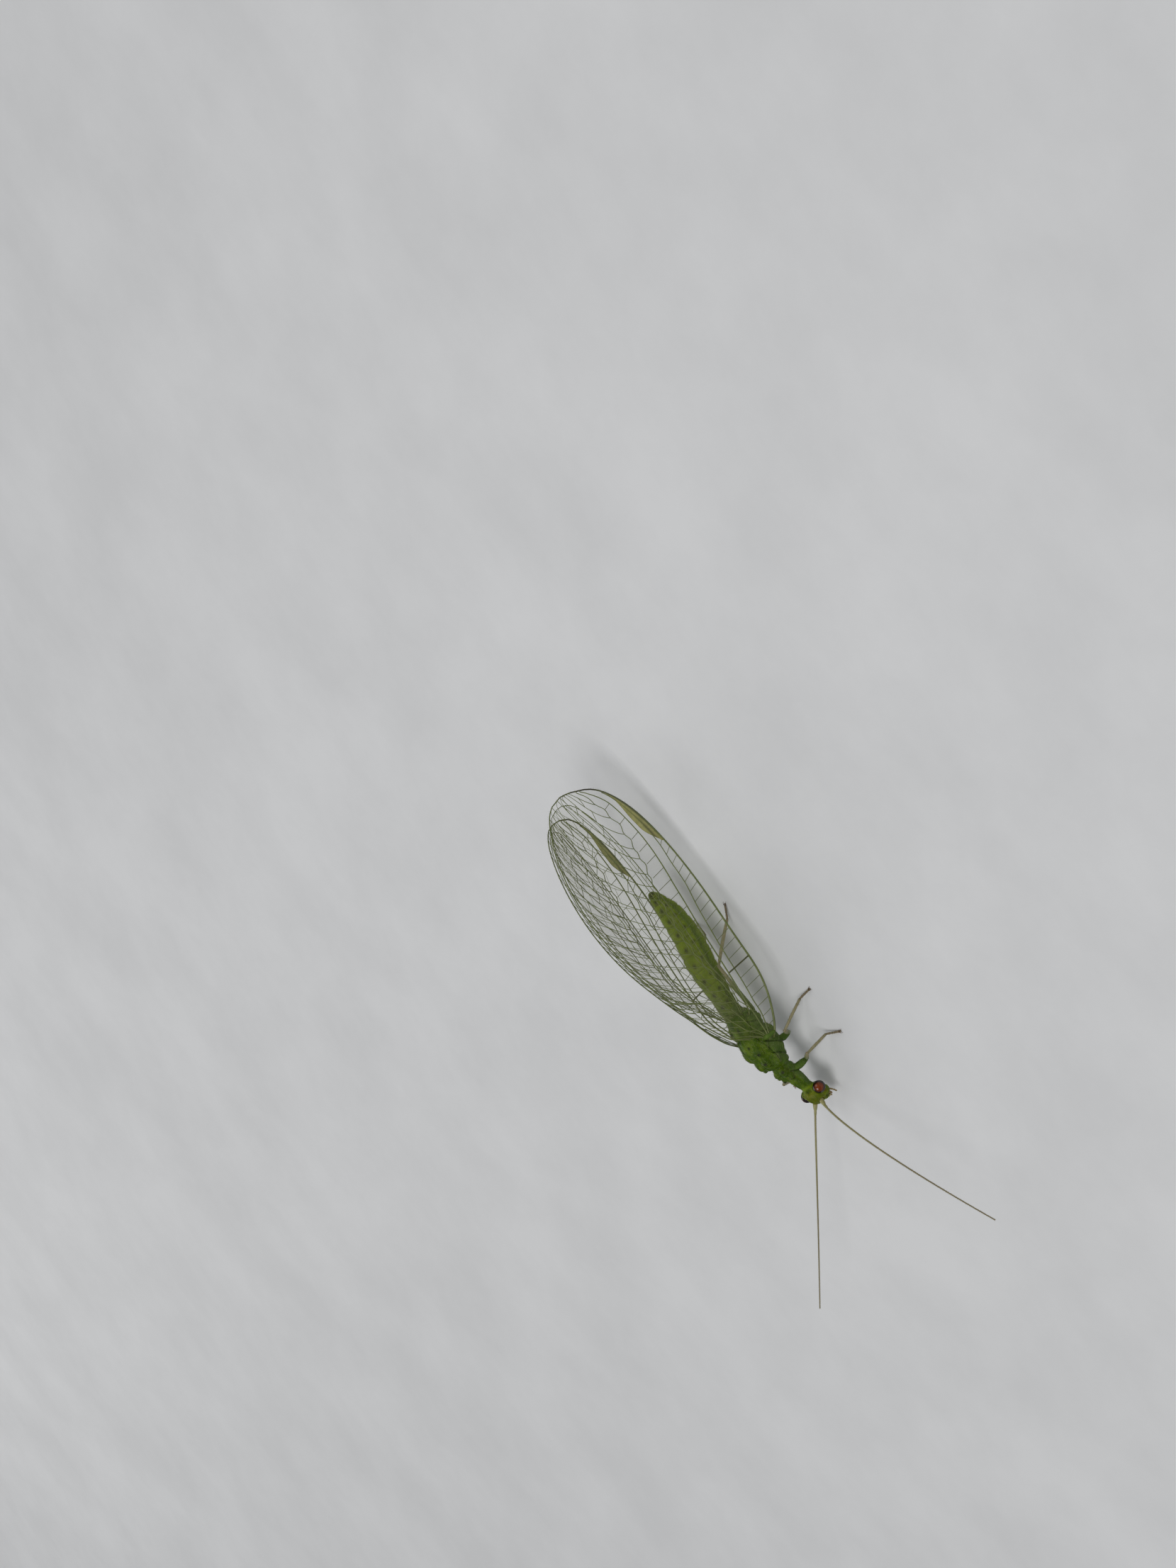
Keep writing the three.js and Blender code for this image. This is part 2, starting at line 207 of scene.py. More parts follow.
def piece(name, mesh, material, nodes=(), attributes=None, bake_map=False):
    """Turns a mesh in millimetres into a piece of the model in metres."""
    values = dict(attributes or {})
    data = mesh
    if isinstance(mesh, Mesh):
        data = mesh.data(name)
        values["tone"] = np.concatenate(mesh.tones)
    data.vertices.foreach_set("co", ((read_vectors(data.vertices, "co") + SHIFT) * MM).ravel())
    for key, value in values.items():
        layer = data.attributes.new(key, "FLOAT", "POINT")
        layer.data.foreach_set("value", np.asarray(value, np.float32))
    if bake_map:
        corner = np.empty(len(data.loops), np.int32)
        data.loops.foreach_get("vertex_index", corner)
        layer = data.uv_layers.new(name="OFBake")
        layer.data.foreach_set("uv", np.concatenate(mesh.uvs)[corner].astype(np.float32).ravel())
    data.update()
    data.shade_smooth()
    data.materials.append(material)
    obj = add_object(name, data)
    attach(obj, "root")
    if nodes:
        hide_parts(*nodes)


# Materials

class Nodes:
    """A material's node tree, built by short calls."""

    def __init__(self, name):
        self.material = bpy.data.materials.new(name)
        self.material.use_nodes = True
        self.tree = self.material.node_tree
        self.shader = self.tree.nodes["Principled BSDF"]
        place = self.new("TexCoord", {}).outputs["Object"]
        self.place = self.new("VectorMath", {0: place, "Scale": 1 / MM}, operation="SCALE").outputs[0]

    def feed(self, socket, value):
        """Joins a socket to another node's output, or gives it a value."""
        if isinstance(value, bpy.types.NodeSocket):
            self.tree.links.new(value, socket)
        else:
            socket.default_value = (*value, 1) if socket.type == "RGBA" else value

    def new(self, kind, inputs, **settings):
        node = self.tree.nodes.new("ShaderNode" + kind)
        for key, value in settings.items():
            setattr(node, key, value)
        for key, value in inputs.items():
            self.feed(node.inputs[key], value)
        return node

    def set(self, **inputs):
        for key, value in inputs.items():
            self.feed(self.shader.inputs[key.replace("_", " ")], value)

    def noise(self, scale, detail=3.0, rough=0.5):
        inputs = {"Scale": scale, "Detail": detail, "Roughness": rough, "Vector": self.place}
        return self.new("TexNoise", inputs).outputs["Fac"]

    def cells(self, scale):
        return self.new("TexVoronoi", {"Scale": scale, "Vector": self.place}).outputs["Distance"]

    def attribute(self, name):
        return self.new("Attribute", {}, attribute_name=name).outputs["Fac"]

    def ramp(self, fac, *stops):
        node = self.new("ValToRGB", {"Fac": fac})
        elements = node.color_ramp.elements
        while len(elements) < len(stops):
            elements.new(0.5)
        for element, (place, colour) in zip(elements, stops):
            element.position = place
            element.color = (*colour, 1)
        return node.outputs["Color"]

    def mix(self, fac, a, b):
        return self.new("Mix", {"Factor": fac, "A": a, "B": b}, data_type="RGBA").outputs["Result"]

    def maths(self, operation, a, b):
        return self.new("Math", {0: a, 1: b}, operation=operation).outputs[0]

    def bump(self, height, strength, distance):
        inputs = {"Strength": strength, "Distance": distance * MM, "Height": height}
        self.set(Normal=self.new("Bump", inputs).outputs["Normal"])

    def roughness(self, fac, low, high):
        inputs = {"To Min": low, "To Max": high, "Value": fac}
        self.set(Roughness=self.new("MapRange", inputs).outputs["Result"])


def body_material():
    m = Nodes("lacewing_cuticle")
    mottle = m.noise(3.2, 4, 0.6)
    grain = m.noise(26, 3, 0.6)
    colour = m.ramp(mottle, (0.3, (0.118, 0.175, 0.003)), (0.52, (0.16, 0.23, 0.006)),
                    (0.75, (0.205, 0.265, 0.01)))
    tints = {
        "green": m.ramp(mottle, (0.34, (0.018, 0.054, 0.001)), (0.5, (0.042, 0.095, 0.002)),
                        (0.66, (0.09, 0.155, 0.008))),
        "bright": m.ramp(mottle, (0.34, (0.07, 0.095, 0.001)), (0.5, (0.11, 0.13, 0.002)),
                         (0.66, (0.17, 0.185, 0.01))),
        "grey": m.ramp(mottle, (0.3, (0.045, 0.095, 0.015)), (0.7, (0.09, 0.155, 0.035))),
        "pale": m.ramp(grain, (0.3, (0.22, 0.21, 0.1)), (0.7, (0.33, 0.31, 0.17))),
        "red": (0.13, 0.022, 0.004),
        "dark": (0.01, 0.011, 0.005),
    }
    for attribute, tint in tints.items():
        colour = m.mix(m.attribute(attribute), colour, tint)
    m.roughness(grain, 0.4, 0.6)
    m.bump(m.maths("ADD", m.noise(30, 3, 0.65), m.maths("MULTIPLY", m.cells(24), 0.5)), 0.22, 0.01)
    m.set(Base_Color=colour, Specular_IOR_Level=0.13)
    m.set(Subsurface_Weight=0.1, Subsurface_Scale=0.25 * MM, Subsurface_Radius=(0.6, 1.0, 0.1))
    return m.material


def limb_material(name, low, high, dark):
    """Cuticle of legs, feelers or mouthparts: pale, with green and dark parts where attributes say so."""
    m = Nodes(name)
    blotch = m.noise(7, 3, 0.55)
    fine = m.noise(55, 3, 0.6)
    pale = m.ramp(blotch, (0.32, low), (0.68, high))
    green = m.ramp(blotch, (0.32, (0.07, 0.12, 0.015)), (0.68, (0.13, 0.18, 0.035)))
    colour = m.mix(m.attribute("tone"), m.mix(m.attribute("green"), pale, green), dark)
    m.roughness(fine, 0.35, 0.6)
    m.bump(fine, 0.45, 0.008)
    m.set(Base_Color=colour, Subsurface_Weight=0.1, Subsurface_Scale=0.15 * MM)
    return m.material


def mottled(name, noise, low, high, rough, bump=None, spot=None, **settings):
    """Two mottled colours. The roughness's and bump's two values come before those of their noise."""
    m = Nodes(name)
    colour = m.ramp(m.noise(*noise), (0.3, low), (0.7, high))
    if spot:
        colour = m.mix(m.attribute(spot[0]), colour, spot[1])
    if bump:
        m.bump(m.noise(*bump[2:]), *bump[:2])
    m.roughness(m.noise(*rough[2:]), *rough[:2])
    m.set(Base_Color=colour, **settings)
    return m.material


def floor_material():
    m = Nodes("pale_floor")
    m.set(Base_Color=m.ramp(m.noise(0.12, 5, 0.6), (0.35, (0.7, 0.7, 0.7)), (0.65, (0.76, 0.76, 0.76))))
    m.roughness(m.noise(1.6, 4), 0.55, 0.7)
    m.bump(m.noise(2.2, 5, 0.65), 0.08, 0.05)
    return m.material


BODY = body_material()
LEG = limb_material("lacewing_leg", (0.23, 0.21, 0.1), (0.34, 0.29, 0.16), (0.12, 0.08, 0.045))
FEELER = limb_material("lacewing_feeler", (0.26, 0.25, 0.08), (0.36, 0.33, 0.14), (0.15, 0.11, 0.08))
MOUTH = limb_material("lacewing_mouth", (0.34, 0.34, 0.12), (0.5, 0.46, 0.2), (0.16, 0.04, 0.015))
# Painted light and shade: the rim spot darkens each eye towards its rim, around an orange glow painted where
# the left eye faces the camera, mirrored on the right eye
EYE_SURFACE = mottled(
    "lacewing_eye", (9, 2, 0.5), (0.15, 0.023, 0.001), (0.27, 0.05, 0.002), (0.12, 0.24, 30),
    spot=("rim", (0.01, 0.003, 0.002)), Coat_Weight=0.2, Coat_Roughness=0.08, Specular_IOR_Level=0.35)
VEIN = mottled(
    "wing_veins", (4, 3), (0.11, 0.145, 0.03), (0.19, 0.22, 0.06), (0.35, 0.55, 40),
    spot=("tone", (0.03, 0.022, 0.01)))
MEMBRANE = mottled(
    "wing_membrane", (2.5, 4, 0.55), (0.24, 0.25, 0.09), (0.39, 0.39, 0.17), (0.25, 0.45, 2.5, 4, 0.55),
    (0.2, 0.04, 2.5, 4, 0.55), Alpha=0.045, Specular_IOR_Level=0.7)
STIGMA = mottled(
    "wing_stigma", (6, 4, 0.6), (0.26, 0.26, 0.08), (0.43, 0.41, 0.15), (0.4, 0.6, 30), (0.5, 0.01, 24, 3),
    ("tone", (0.05, 0.03, 0.015)))
HAIR = mottled("fine_hairs", (5,), (0.2, 0.2, 0.1), (0.42, 0.4, 0.24), (0.4, 0.6, 60))
FLOOR = floor_material()


# Wings: u runs from the root to the tip, q from the front edge to the hind edge

class Wing:
    first, last = 0.012, 0.9995

    def chord(self, u):
        return self.width * np.sin(pi * u ** self.fullness) ** self.roundness

    def places(self, u, q):
        u, q = np.broadcast_arrays(np.asarray(u, float), np.asarray(q, float))
        return np.clip(u, self.first, self.last), q


def root_pull(u, way, fade):
    """Moves the wing's root all the way, and the places beyond u = fade not at all."""
    return (1 - smooth(0, fade, u))[..., None] * np.array(way)


class ForeWing(Wing):
    length, width = 13.374, 4.737
    fullness, roundness, share = 1.378, 0.363, 0.526
    root_y, tip_y, root_z, tip_z, bow = 1.241, 0.926, 2.409, 3.07, 0.455
    root_tilt, full_tilt, full_from = 50.6, 68.3, 0.70
    camber = 0.36
    base_width, base_fade = 0.5, 0.09
    vein_size = 1.0
    tuck = np.array([0.0, -0.19, -0.125])
    tuck_at = staticmethod(curve([
        (0, 0), (0.06, 0.2), (0.115, 0.7), (0.19, 1.5), (0.268, 1.2), (0.365, 0.8), (0.43, 0.5), (0.6, 0.15),
        (0.75, 0), (1, 0),
    ]))
    swell, swell_from, swell_width = 0.18, 0.19, 0.12

    def point(self, u, q, out=0.0):
        u, q = self.places(u, q)
        turn = np.sin(pi / 2 * np.minimum(1, u / self.full_from))
        tilt = np.radians(self.root_tilt + (self.full_tilt - self.root_tilt) * turn)
        chord = self.chord(u)
        middle = np.stack([
            -self.length * u,
            self.root_y + (self.tip_y - self.root_y) * u,
            self.root_z + (self.tip_z - self.root_z) * u + self.bow * np.sin(pi * u),
        ], -1)
        across = np.stack([0 * u, -np.cos(tilt), np.sin(tilt)], -1)
        outward = np.stack([0 * u, np.sin(tilt), np.cos(tilt)], -1)
        lift = self.camber * chord / self.width * np.sin(pi * np.clip(q, 0, 1)) + out
        # The root bends down to the thorax
        pull = root_pull(u, (0.0, -0.5, -0.33), 0.2) + root_pull(u, (0.04, -0.2, -0.1), 0.035)
        # The hind margin of the resting wing hangs a little closer to the body
        pull = pull + (smooth(0.5, 1, q) * self.tuck_at(u))[..., None] * self.tuck
        # The front margin swells near the root
        bulge = self.swell * bell(u, self.swell_from, self.swell_width) * (1 - smooth(0, 0.35, q))
        narrow = self.base_width + (1 - self.base_width) * smooth(0, self.base_fade, u)
        reach = (q * narrow - self.share) * chord - bulge
        return middle + across * reach[..., None] + outward * lift[..., None] + pull


class HindWing(Wing):
    """Lies just under the fore wing, with its front edge inside the fore wing's."""
    length, width, root = 11.3, 2.95, 1.75
    fullness, roundness, share = 1.2, 0.38, 0.45
    offset, under = 0.5, 0.09
    vein_size = 0.58

    def __init__(self, fore):
        self.fore = fore

    def point(self, u, q, out=0.0):
        u, q = self.places(u, q)
        fore_u = (self.root + self.length * u) / self.fore.length
        along = self.offset + (q - self.share) * self.chord(u)
        fore_q = self.fore.share + along / self.fore.chord(fore_u)
        return self.fore.point(fore_u, fore_q, out - self.under) + root_pull(u, (0.39, -0.26, -0.9), 0.25)


FORE = ForeWing()
HIND = HindWing(FORE)
RIGHT_REACH = 0.9637
LEFT_TIP_REACH = 0.014


def placed(points, side):
    """Wing points on the insect's left or right. The right wings lie a little further forward."""
    points = np.asarray(points, float)
    if side == RIGHT:
        return points * np.array([RIGHT_REACH, -1, 1])
    corner = smooth(12.0, 13.37, -points[..., 0]) * smooth(2.3, 3.4, points[..., 2])
    stretch = 1 + LEFT_TIP_REACH * corner
    return np.stack([points[..., 0] * stretch, points[..., 1], points[..., 2]], -1)


def turned_to(direction, side):
    """A direction on the insect's left or right."""
    return np.asarray(direction, float) * np.array([1, side, 1])


# Veins are lines of (u, q) with a thickness and a tone

class Pattern:
    """The rows of a wing's vein net, as functions of u, and where two sets of veins start."""

    def __init__(self, sector_from, costal_from, **rows):
        self.sector_from, self.costal_from = sector_from, costal_from
        for name, points in rows.items():
            setattr(self, name, curve(points))


FORE_PATTERN = Pattern(
    subcosta=[(0.012, 0.42), (0.06, 0.24), (0.15, 0.22), (0.3, 0.195), (0.4, 0.168), (0.487, 0.141),
              (0.56, 0.105), (0.65, 0.087), (0.71, 0.063), (0.763, 0.053), (0.88, 0.04), (0.96, 0.02)],
    radius=[(0.012, 0.5), (0.06, 0.34), (0.15, 0.31), (0.3, 0.27), (0.42, 0.245), (0.52, 0.215),
            (0.575, 0.2), (0.63, 0.18), (0.69, 0.16), (0.76, 0.143), (0.83, 0.134), (0.88, 0.125),
            (0.916, 0.12), (0.942, 0.132), (0.966, 0.15)],
    sector=[(0.12, 0.33), (0.2, 0.39), (0.32, 0.43), (0.45, 0.42), (0.55, 0.385), (0.619, 0.346),
            (0.68, 0.3), (0.74, 0.275), (0.8, 0.25), (0.88, 0.24), (0.95, 0.25), (0.99, 0.27)],
    inner=[(0.012, 0.55), (0.1, 0.52), (0.2, 0.575), (0.35, 0.61), (0.5, 0.6), (0.6, 0.57), (0.7, 0.51),
           (0.8, 0.435), (0.88, 0.385), (0.96, 0.37)],
    outer=[(0.012, 0.6), (0.1, 0.66), (0.2, 0.75), (0.35, 0.8), (0.5, 0.8), (0.6, 0.78), (0.7, 0.73),
           (0.8, 0.64), (0.88, 0.56), (0.96, 0.5)],
    sector_from=0.12,
    costal_from=0.05,
)
HIND_PATTERN = Pattern(
    subcosta=[(0.012, 0.42), (0.08, 0.12), (0.3, 0.07), (0.6, 0.05), (0.8, 0.04), (0.96, 0.02)],
    radius=[(0.012, 0.46), (0.08, 0.2), (0.3, 0.13), (0.6, 0.1), (0.8, 0.1), (0.93, 0.12), (0.99, 0.16)],
    sector=[(0.06, 0.25), (0.2, 0.28), (0.4, 0.3), (0.6, 0.27), (0.8, 0.23), (0.93, 0.23), (0.99, 0.27)],
    inner=[(0.012, 0.5), (0.1, 0.42), (0.3, 0.5), (0.5, 0.52), (0.7, 0.47), (0.85, 0.4), (0.96, 0.38)],
    outer=[(0.012, 0.55), (0.1, 0.58), (0.3, 0.74), (0.5, 0.77), (0.7, 0.7), (0.85, 0.58), (0.96, 0.5)],
    sector_from=0.06,
    costal_from=0.1,
)
EDGE_U = 0.988
ZIGZAG = 0.02
STRONG_CROSSVEIN = 0.257
COSTAL_TO = 0.74
CROSSVEIN_LEAN = 0.008
BRANCHED_TO = 0.6
BASE_TO = 0.16
STRONG, MIDDLE, FINE = 0.034, 0.0195, 0.0125


def row_line(row, start, end, zigzag=0.0, nodes=()):
    """A vein along a row; at each node it turns towards the hind edge, and between nodes back."""
    u = np.linspace(start, end, 90)
    q = row(u)
    if len(nodes) > 1:
        swing = np.full(len(u), -1.0)
        for a in nodes:
            swing = np.maximum(swing, 1 - np.abs(u - a) / (0.32 * abs(nodes[1] - nodes[0])))
        q = q + zigzag * np.clip(swing, -1, 1)
    return np.stack([u, q], 1)


# How steeply the branches run towards the hind edge, from the wing's root to its tip
BRANCH_SLOPE = curve([(0.0, 1.5), (0.3, 1.25), (0.5, 0.85), (0.65, 0.55), (0.78, 0.34), (0.9, 0.22),
                      (0.97, 0.1), (1.0, 0.08)])


def edge_place(wing, u, along):
    """The q at a distance along the chord, kept on the wing."""
    return min(max(wing.share + along / wing.chord(u), 0.0), 1.0)


def branch_from(wing, pattern, u, q, steep=1.0):
    """Follows the slope of the net from a point to the wing's edge."""
    line = [(u, q)]
    along = (q - wing.share) * wing.chord(u)
    while 0 < q < 1 and u < wing.last:
        away = max(0, q - pattern.sector(u)) * wing.chord(u)
        step = min(0.004, 0.00012 + 0.12 * (wing.last - u))
        u = min(u + step, wing.last)
        along += (BRANCH_SLOPE(u) + steep * exp(-away / 0.35)) * step * wing.length
        q = edge_place(wing, u, along)
        line.append((u, q))
    return np.array(line)


def run_out(line, wing):
    """Carries a line straight on until it meets the rounded tip."""
    u, q = line[-1]
    if q >= 1:
        return line
    along = (q - wing.share) * wing.chord(u)
    more = []
    for u in np.linspace(u, wing.last, 16)[1:]:
        more.append((u, edge_place(wing, u, along)))
        if more[-1][1] in (0.0, 1.0):
            break
    return np.concatenate([line, more])


def crossing(line, row):
    """Where a branch passes a row, as a point of the branch, or None."""
    gap = line[:, 1] - row(line[:, 0])
    k = np.flatnonzero((gap[:-1] < 0) & (gap[1:] >= 0))
    if len(k) == 0:
        return None
    a = k[0]
    t = -gap[a] / (gap[a + 1] - gap[a])
    return line[a] + (line[a + 1] - line[a]) * t


def vein_net(wing, pattern, starts, costal_count, gradate_from, full):
    """All veins of one wing as (line, start radius, end radius, tone)."""
    net = []

    def vein(line, start, end, tone):
        net.append((np.array(line), start, end, tone))

    whole = wing.first + (wing.last - wing.first) * np.sin(np.linspace(0, pi / 2, 150))
    vein(np.stack([whole, 0 * whole], 1), 0.05, 0.03, 0.15)
    vein(np.stack([whole, 0 * whole + 1], 1), 0.026, 0.024, 0.2)
    vein([(wing.last, 0.0), (wing.last, 1.0)], 0.03, 0.024, 0.4)
    vein(row_line(pattern.subcosta, wing.first, 0.95), STRONG * 0.9, 0.018, 0.1)
    vein(run_out(row_line(pattern.radius, wing.first, EDGE_U), wing), STRONG * 1.15, 0.022, 0.12)
    sector = row_line(pattern.sector, pattern.sector_from, EDGE_U, ZIGZAG, starts)
    vein(run_out(sector, wing), MIDDLE, 0.018, 0.15)
    lines = [branch_from(wing, pattern, a, pattern.sector(a) + ZIGZAG) for a in starts]
    for a in np.arange(0.06, starts[0] + 0.03, 0.045):
        lines.insert(0, branch_from(wing, pattern, a, pattern.inner(a), 0.0))
    lines.sort(key=lambda line: line[-1][0] - line[-1][1])
    # Crossveins behind the front edge and between radius and sector
    for t in np.arange(costal_count) / (costal_count - 1):
        u = pattern.costal_from + (COSTAL_TO - pattern.costal_from) * t
        vein([(u + 0.006 + 0.012 * t, 0.0), (u, pattern.subcosta(u))], FINE, FINE, 0.2)
    if full:
        u = STRONG_CROSSVEIN
        vein([(u + CROSSVEIN_LEAN, 0.0), (u, pattern.radius(u))], STRONG, STRONG, 0.7)
    for a, b in pairwise(starts):
        u = (a + b) / 2
        top = (u + CROSSVEIN_LEAN, pattern.radius(u + CROSSVEIN_LEAN))
        vein([top, (u, pattern.sector(u) - ZIGZAG)], FINE, FINE, 0.3)
    # Branches, forked before the edge
    outers = [crossing(line, pattern.outer) for line in lines]
    for line, outer in zip(lines, outers):
        vein(line, MIDDLE * 0.85, FINE * 0.9, 0.1)
        if outer is None:
            continue
        rest = line[line[:, 0] >= outer[0]]
        if len(rest) < 6:
            continue
        fork = rest[len(rest) // 3:]
        away = 0.017 * smooth(0, 0.7, np.linspace(0, 1, len(fork)))
        prong = np.stack([fork[:, 0] + away, fork[:, 1] - 0.25 * away], 1)
        prong = prong[prong[:, 0] < wing.last]
        if len(prong) > 3:
            vein(prong, FINE, FINE * 0.85, 0.1)
    # More branches start midway on the outer row
    for a, b in pairwise(outers):
        if full and a is not None and b is not None and a[0] < BRANCHED_TO and abs(a[0] - b[0]) < 0.1:
            vein(branch_from(wing, pattern, *(a + b) / 2, 0.0), FINE, FINE * 0.85, 0.1)
    # The two rows of crossveins, as steps from branch to branch
    inners = [crossing(line, pattern.inner) for line in lines]
    for points, step in ((inners, 0.014), (outers, 0.012)):
        for a, b in pairwise(points):
            if a is None or b is None or abs(a[0] - b[0]) > 0.14:
                continue
            if a[0] < gradate_from:
                vein([a, (a + b) / 2 + np.array([0.0, -step]), b], MIDDLE, MIDDLE, 0.12)
            else:
                low, high = sorted((a, b), key=lambda p: p[0])
                vein([low + (step, step * 1.3), high - (step * 0.2, step)], FINE, FINE, 0.2)
    # Veins at the wing's base
    for row in (pattern.inner, pattern.outer):
        vein(row_line(row, wing.first, BASE_TO), MIDDLE, MIDDLE, 0.15)
    t = np.linspace(0, 1, 12)
    for hind, at in ((0.1, 0.84), (0.06, 0.93)):
        q = 0.62 + 0.38 * (at * t ** 0.7 + (1 - at) * t)
        vein(np.stack([wing.first + hind * t, q], 1), MIDDLE, FINE, 0.15)
    return net


FORE_BRANCHES = [0.17, 0.22, 0.27, 0.32, 0.37, 0.42, 0.47, 0.52, 0.569, 0.615, 0.656, 0.709, 0.746, 0.801,
                 0.868, 0.93]
HIND_BRANCHES = [0.16, 0.25, 0.34, 0.43, 0.52, 0.6, 0.68, 0.76, 0.84, 0.92]
FORE_NET = vein_net(FORE, FORE_PATTERN, FORE_BRANCHES, 21, 0.6, True)
HIND_NET = vein_net(HIND, HIND_PATTERN, HIND_BRANCHES, 15, 0.55, False)


def fine_line(line, wing):
    """More points on a vein, so that it follows the curved membrane."""
    line = np.asarray(line, float)
    steps = np.linalg.norm(np.diff(line * [wing.length, wing.width], axis=0), axis=1)
    length = np.concatenate([[0], np.cumsum(steps)])
    count = max(3, int(length[-1] / 0.14) + 1)
    t = np.linspace(0, length[-1], count)
    return np.stack([np.interp(t, length, line[:, 0]), np.interp(t, length, line[:, 1])], 1)


def build_veins(name, wing, net, side, node):
    mesh = Mesh()
    for line, start, end, tone in net:
        u, q = fine_line(line, wing).T
        # The front edge is thicker and browner near the tip
        front = (q < 0.02) * (wing is FORE)
        radius = np.linspace(start, end, len(u)) * wing.vein_size * (1 + 0.5 * bell(u, 0.84, 0.1) * front)
        brown = tone + (0.45 * smooth(0.68, 0.85, u) + 0.9 * bell(u, 0.985, 0.012)) * front
        tube(mesh, placed(wing.point(u, q), side), radius, 6, np.clip(brown, 0, 1))
    piece(name, mesh, VEIN, [node])


def closed_sheet(wing, grid_u, grid_q, half, side, tone):
    """A closed thin sheet over a grid of places on the wing."""
    rows, columns = grid_u.shape
    count = rows * columns
    top = placed(wing.point(grid_u, grid_q, half).reshape(-1, 3), side)
    low = placed(wing.point(grid_u, grid_q, -half).reshape(-1, 3), side)
    upper = [
        (i + j, i + j + 1, i + j + columns + 1, i + j + columns)
        for i in range(0, count - columns, columns) for j in range(columns - 1)
    ]
    faces = upper + [tuple(count + k for k in reversed(f)) for f in upper]
    rim = [
        *range(0, count, columns), *range(count - columns + 1, count),
        *range(count - columns - 1, 0, -columns), *range(columns - 2, 0, -1),
    ]
    for a, b in zip(rim, rim[1:] + rim[:1]):
        faces.append((b, a, a + count, b + count))
    if side == LEFT:
        faces = [tuple(reversed(f)) for f in faces]
    mesh = Mesh()
    mesh.add(np.concatenate([top, low]), faces, np.tile(np.broadcast_to(tone, grid_u.shape).ravel(), 2))
    return mesh


def build_membrane(name, wing, side):
    u = wing.first + (wing.last - wing.first) * (0.5 - 0.5 * np.cos(pi * np.linspace(0, 1, 150)))
    q = 0.5 - 0.5 * np.cos(pi * np.linspace(0, 1, 32))
    grid_u, grid_q = np.meshgrid(u, q, indexing="ij")
    piece(name, closed_sheet(wing, grid_u, grid_q, 0.006, side, 0.0), MEMBRANE)


STIGMA_SHARE = 0.7


def build_stigma(name, side):
    """The thick coloured patch between the front edge and the radius, near the tip."""
    u = np.linspace(0.715, 0.965, 80)
    taper = smooth(0.69, 0.79, u) * (1 - smooth(0.82, 0.985, u))
    depth = STIGMA_SHARE * FORE_PATTERN.radius(u) * taper
    grid_u, share = np.meshgrid(u, np.linspace(0.0, 1.0, 11), indexing="ij")
    grid_q = depth[:, None] * share
    thick = 0.014 * np.sqrt(np.clip(4 * share * (1 - share), 0.02, 1))
    streak = 0.75 * bell(grid_u, 0.76, 0.07) * bell(grid_q, 0.045, 0.012)
    dark = np.maximum(streak, 0.5 * bell(grid_q, 0.0, 0.01))
    piece(name, closed_sheet(FORE, grid_u, grid_q, thick, side, dark), STIGMA)


def hair(mesh, root, direction, length, radius, bend, uv):
    """One curved hair of three sides."""
    t = np.array([0.0, 0.55, 1.0])
    path = root + np.outer(t * length, direction) + np.outer(t ** 2 * length, bend)
    tube(mesh, path, radius * np.array([1.0, 0.7, 0.12]), 3, round_ends=False, uv=uv)


def bake_patch(u, v):
    """A hair's place on the unwrap, kept a little inside its edges."""
    return np.clip([u, v], 0.002, 0.997)


def build_wing_hairs(name, wing, net, side):
    """Fringe hairs along the edges and short ones on the veins."""
    mesh = Mesh()
    for edge, sign in ((0.0, -1), (1.0, 1)):
        for u in np.arange(0.05, 0.985, 0.0036):
            root = wing.point(u, edge)
            away = unit(root - wing.point(u, edge - sign * 0.06))
            tip = unit(wing.point(min(u + 0.01, 0.99), edge) - root)
            direction = unit(away + tip * rng.uniform(0.4, 0.9) + rng.normal(0, 0.08, 3))
            bend = turned_to(tip, side) * 0.1
            hair(mesh, placed(root, side), turned_to(direction, side), rng.uniform(0.09, 0.14), 0.004,
                 bend, bake_patch(u, 0.25 + 0.5 * edge))
    for line, start, *_ in net:
        line = fine_line(line, wing)
        for (u, q), (next_u, next_q) in zip(line[1:-1], line[2:]):
            if q <= 0 or q >= 1:
                continue
            base = wing.point(u, q)
            up = unit(wing.point(u, q, 0.1) - base)
            on = unit(wing.point(next_u, next_q) - base)
            direction = turned_to(unit(up + on * 0.9 + rng.normal(0, 0.12, 3)), side)
            root = placed(wing.point(u, q, start * 0.9), side)
            hair(mesh, root, direction, rng.uniform(0.05, 0.09), 0.003, turned_to(on, side) * 0.1,
                 bake_patch(u, q))
    piece(name, mesh, HAIR, bake_map=True)


def build_wings():
    for side, word in SIDES:
        build_membrane("forewing_membrane_" + word, FORE, side)
        build_membrane("hindwing_membrane_" + word, HIND, side)
        build_veins("forewing_veins_" + word, FORE, FORE_NET, side, "forewing_" + word)
        build_veins("hindwing_veins_" + word, HIND, HIND_NET, side, "hindwing_" + word)
        build_stigma("forewing_stigma_" + word, side)
        build_wing_hairs("forewing_hairs_" + word, FORE, FORE_NET, side)


# Body: sections of x, middle height, half width and half height, front to back

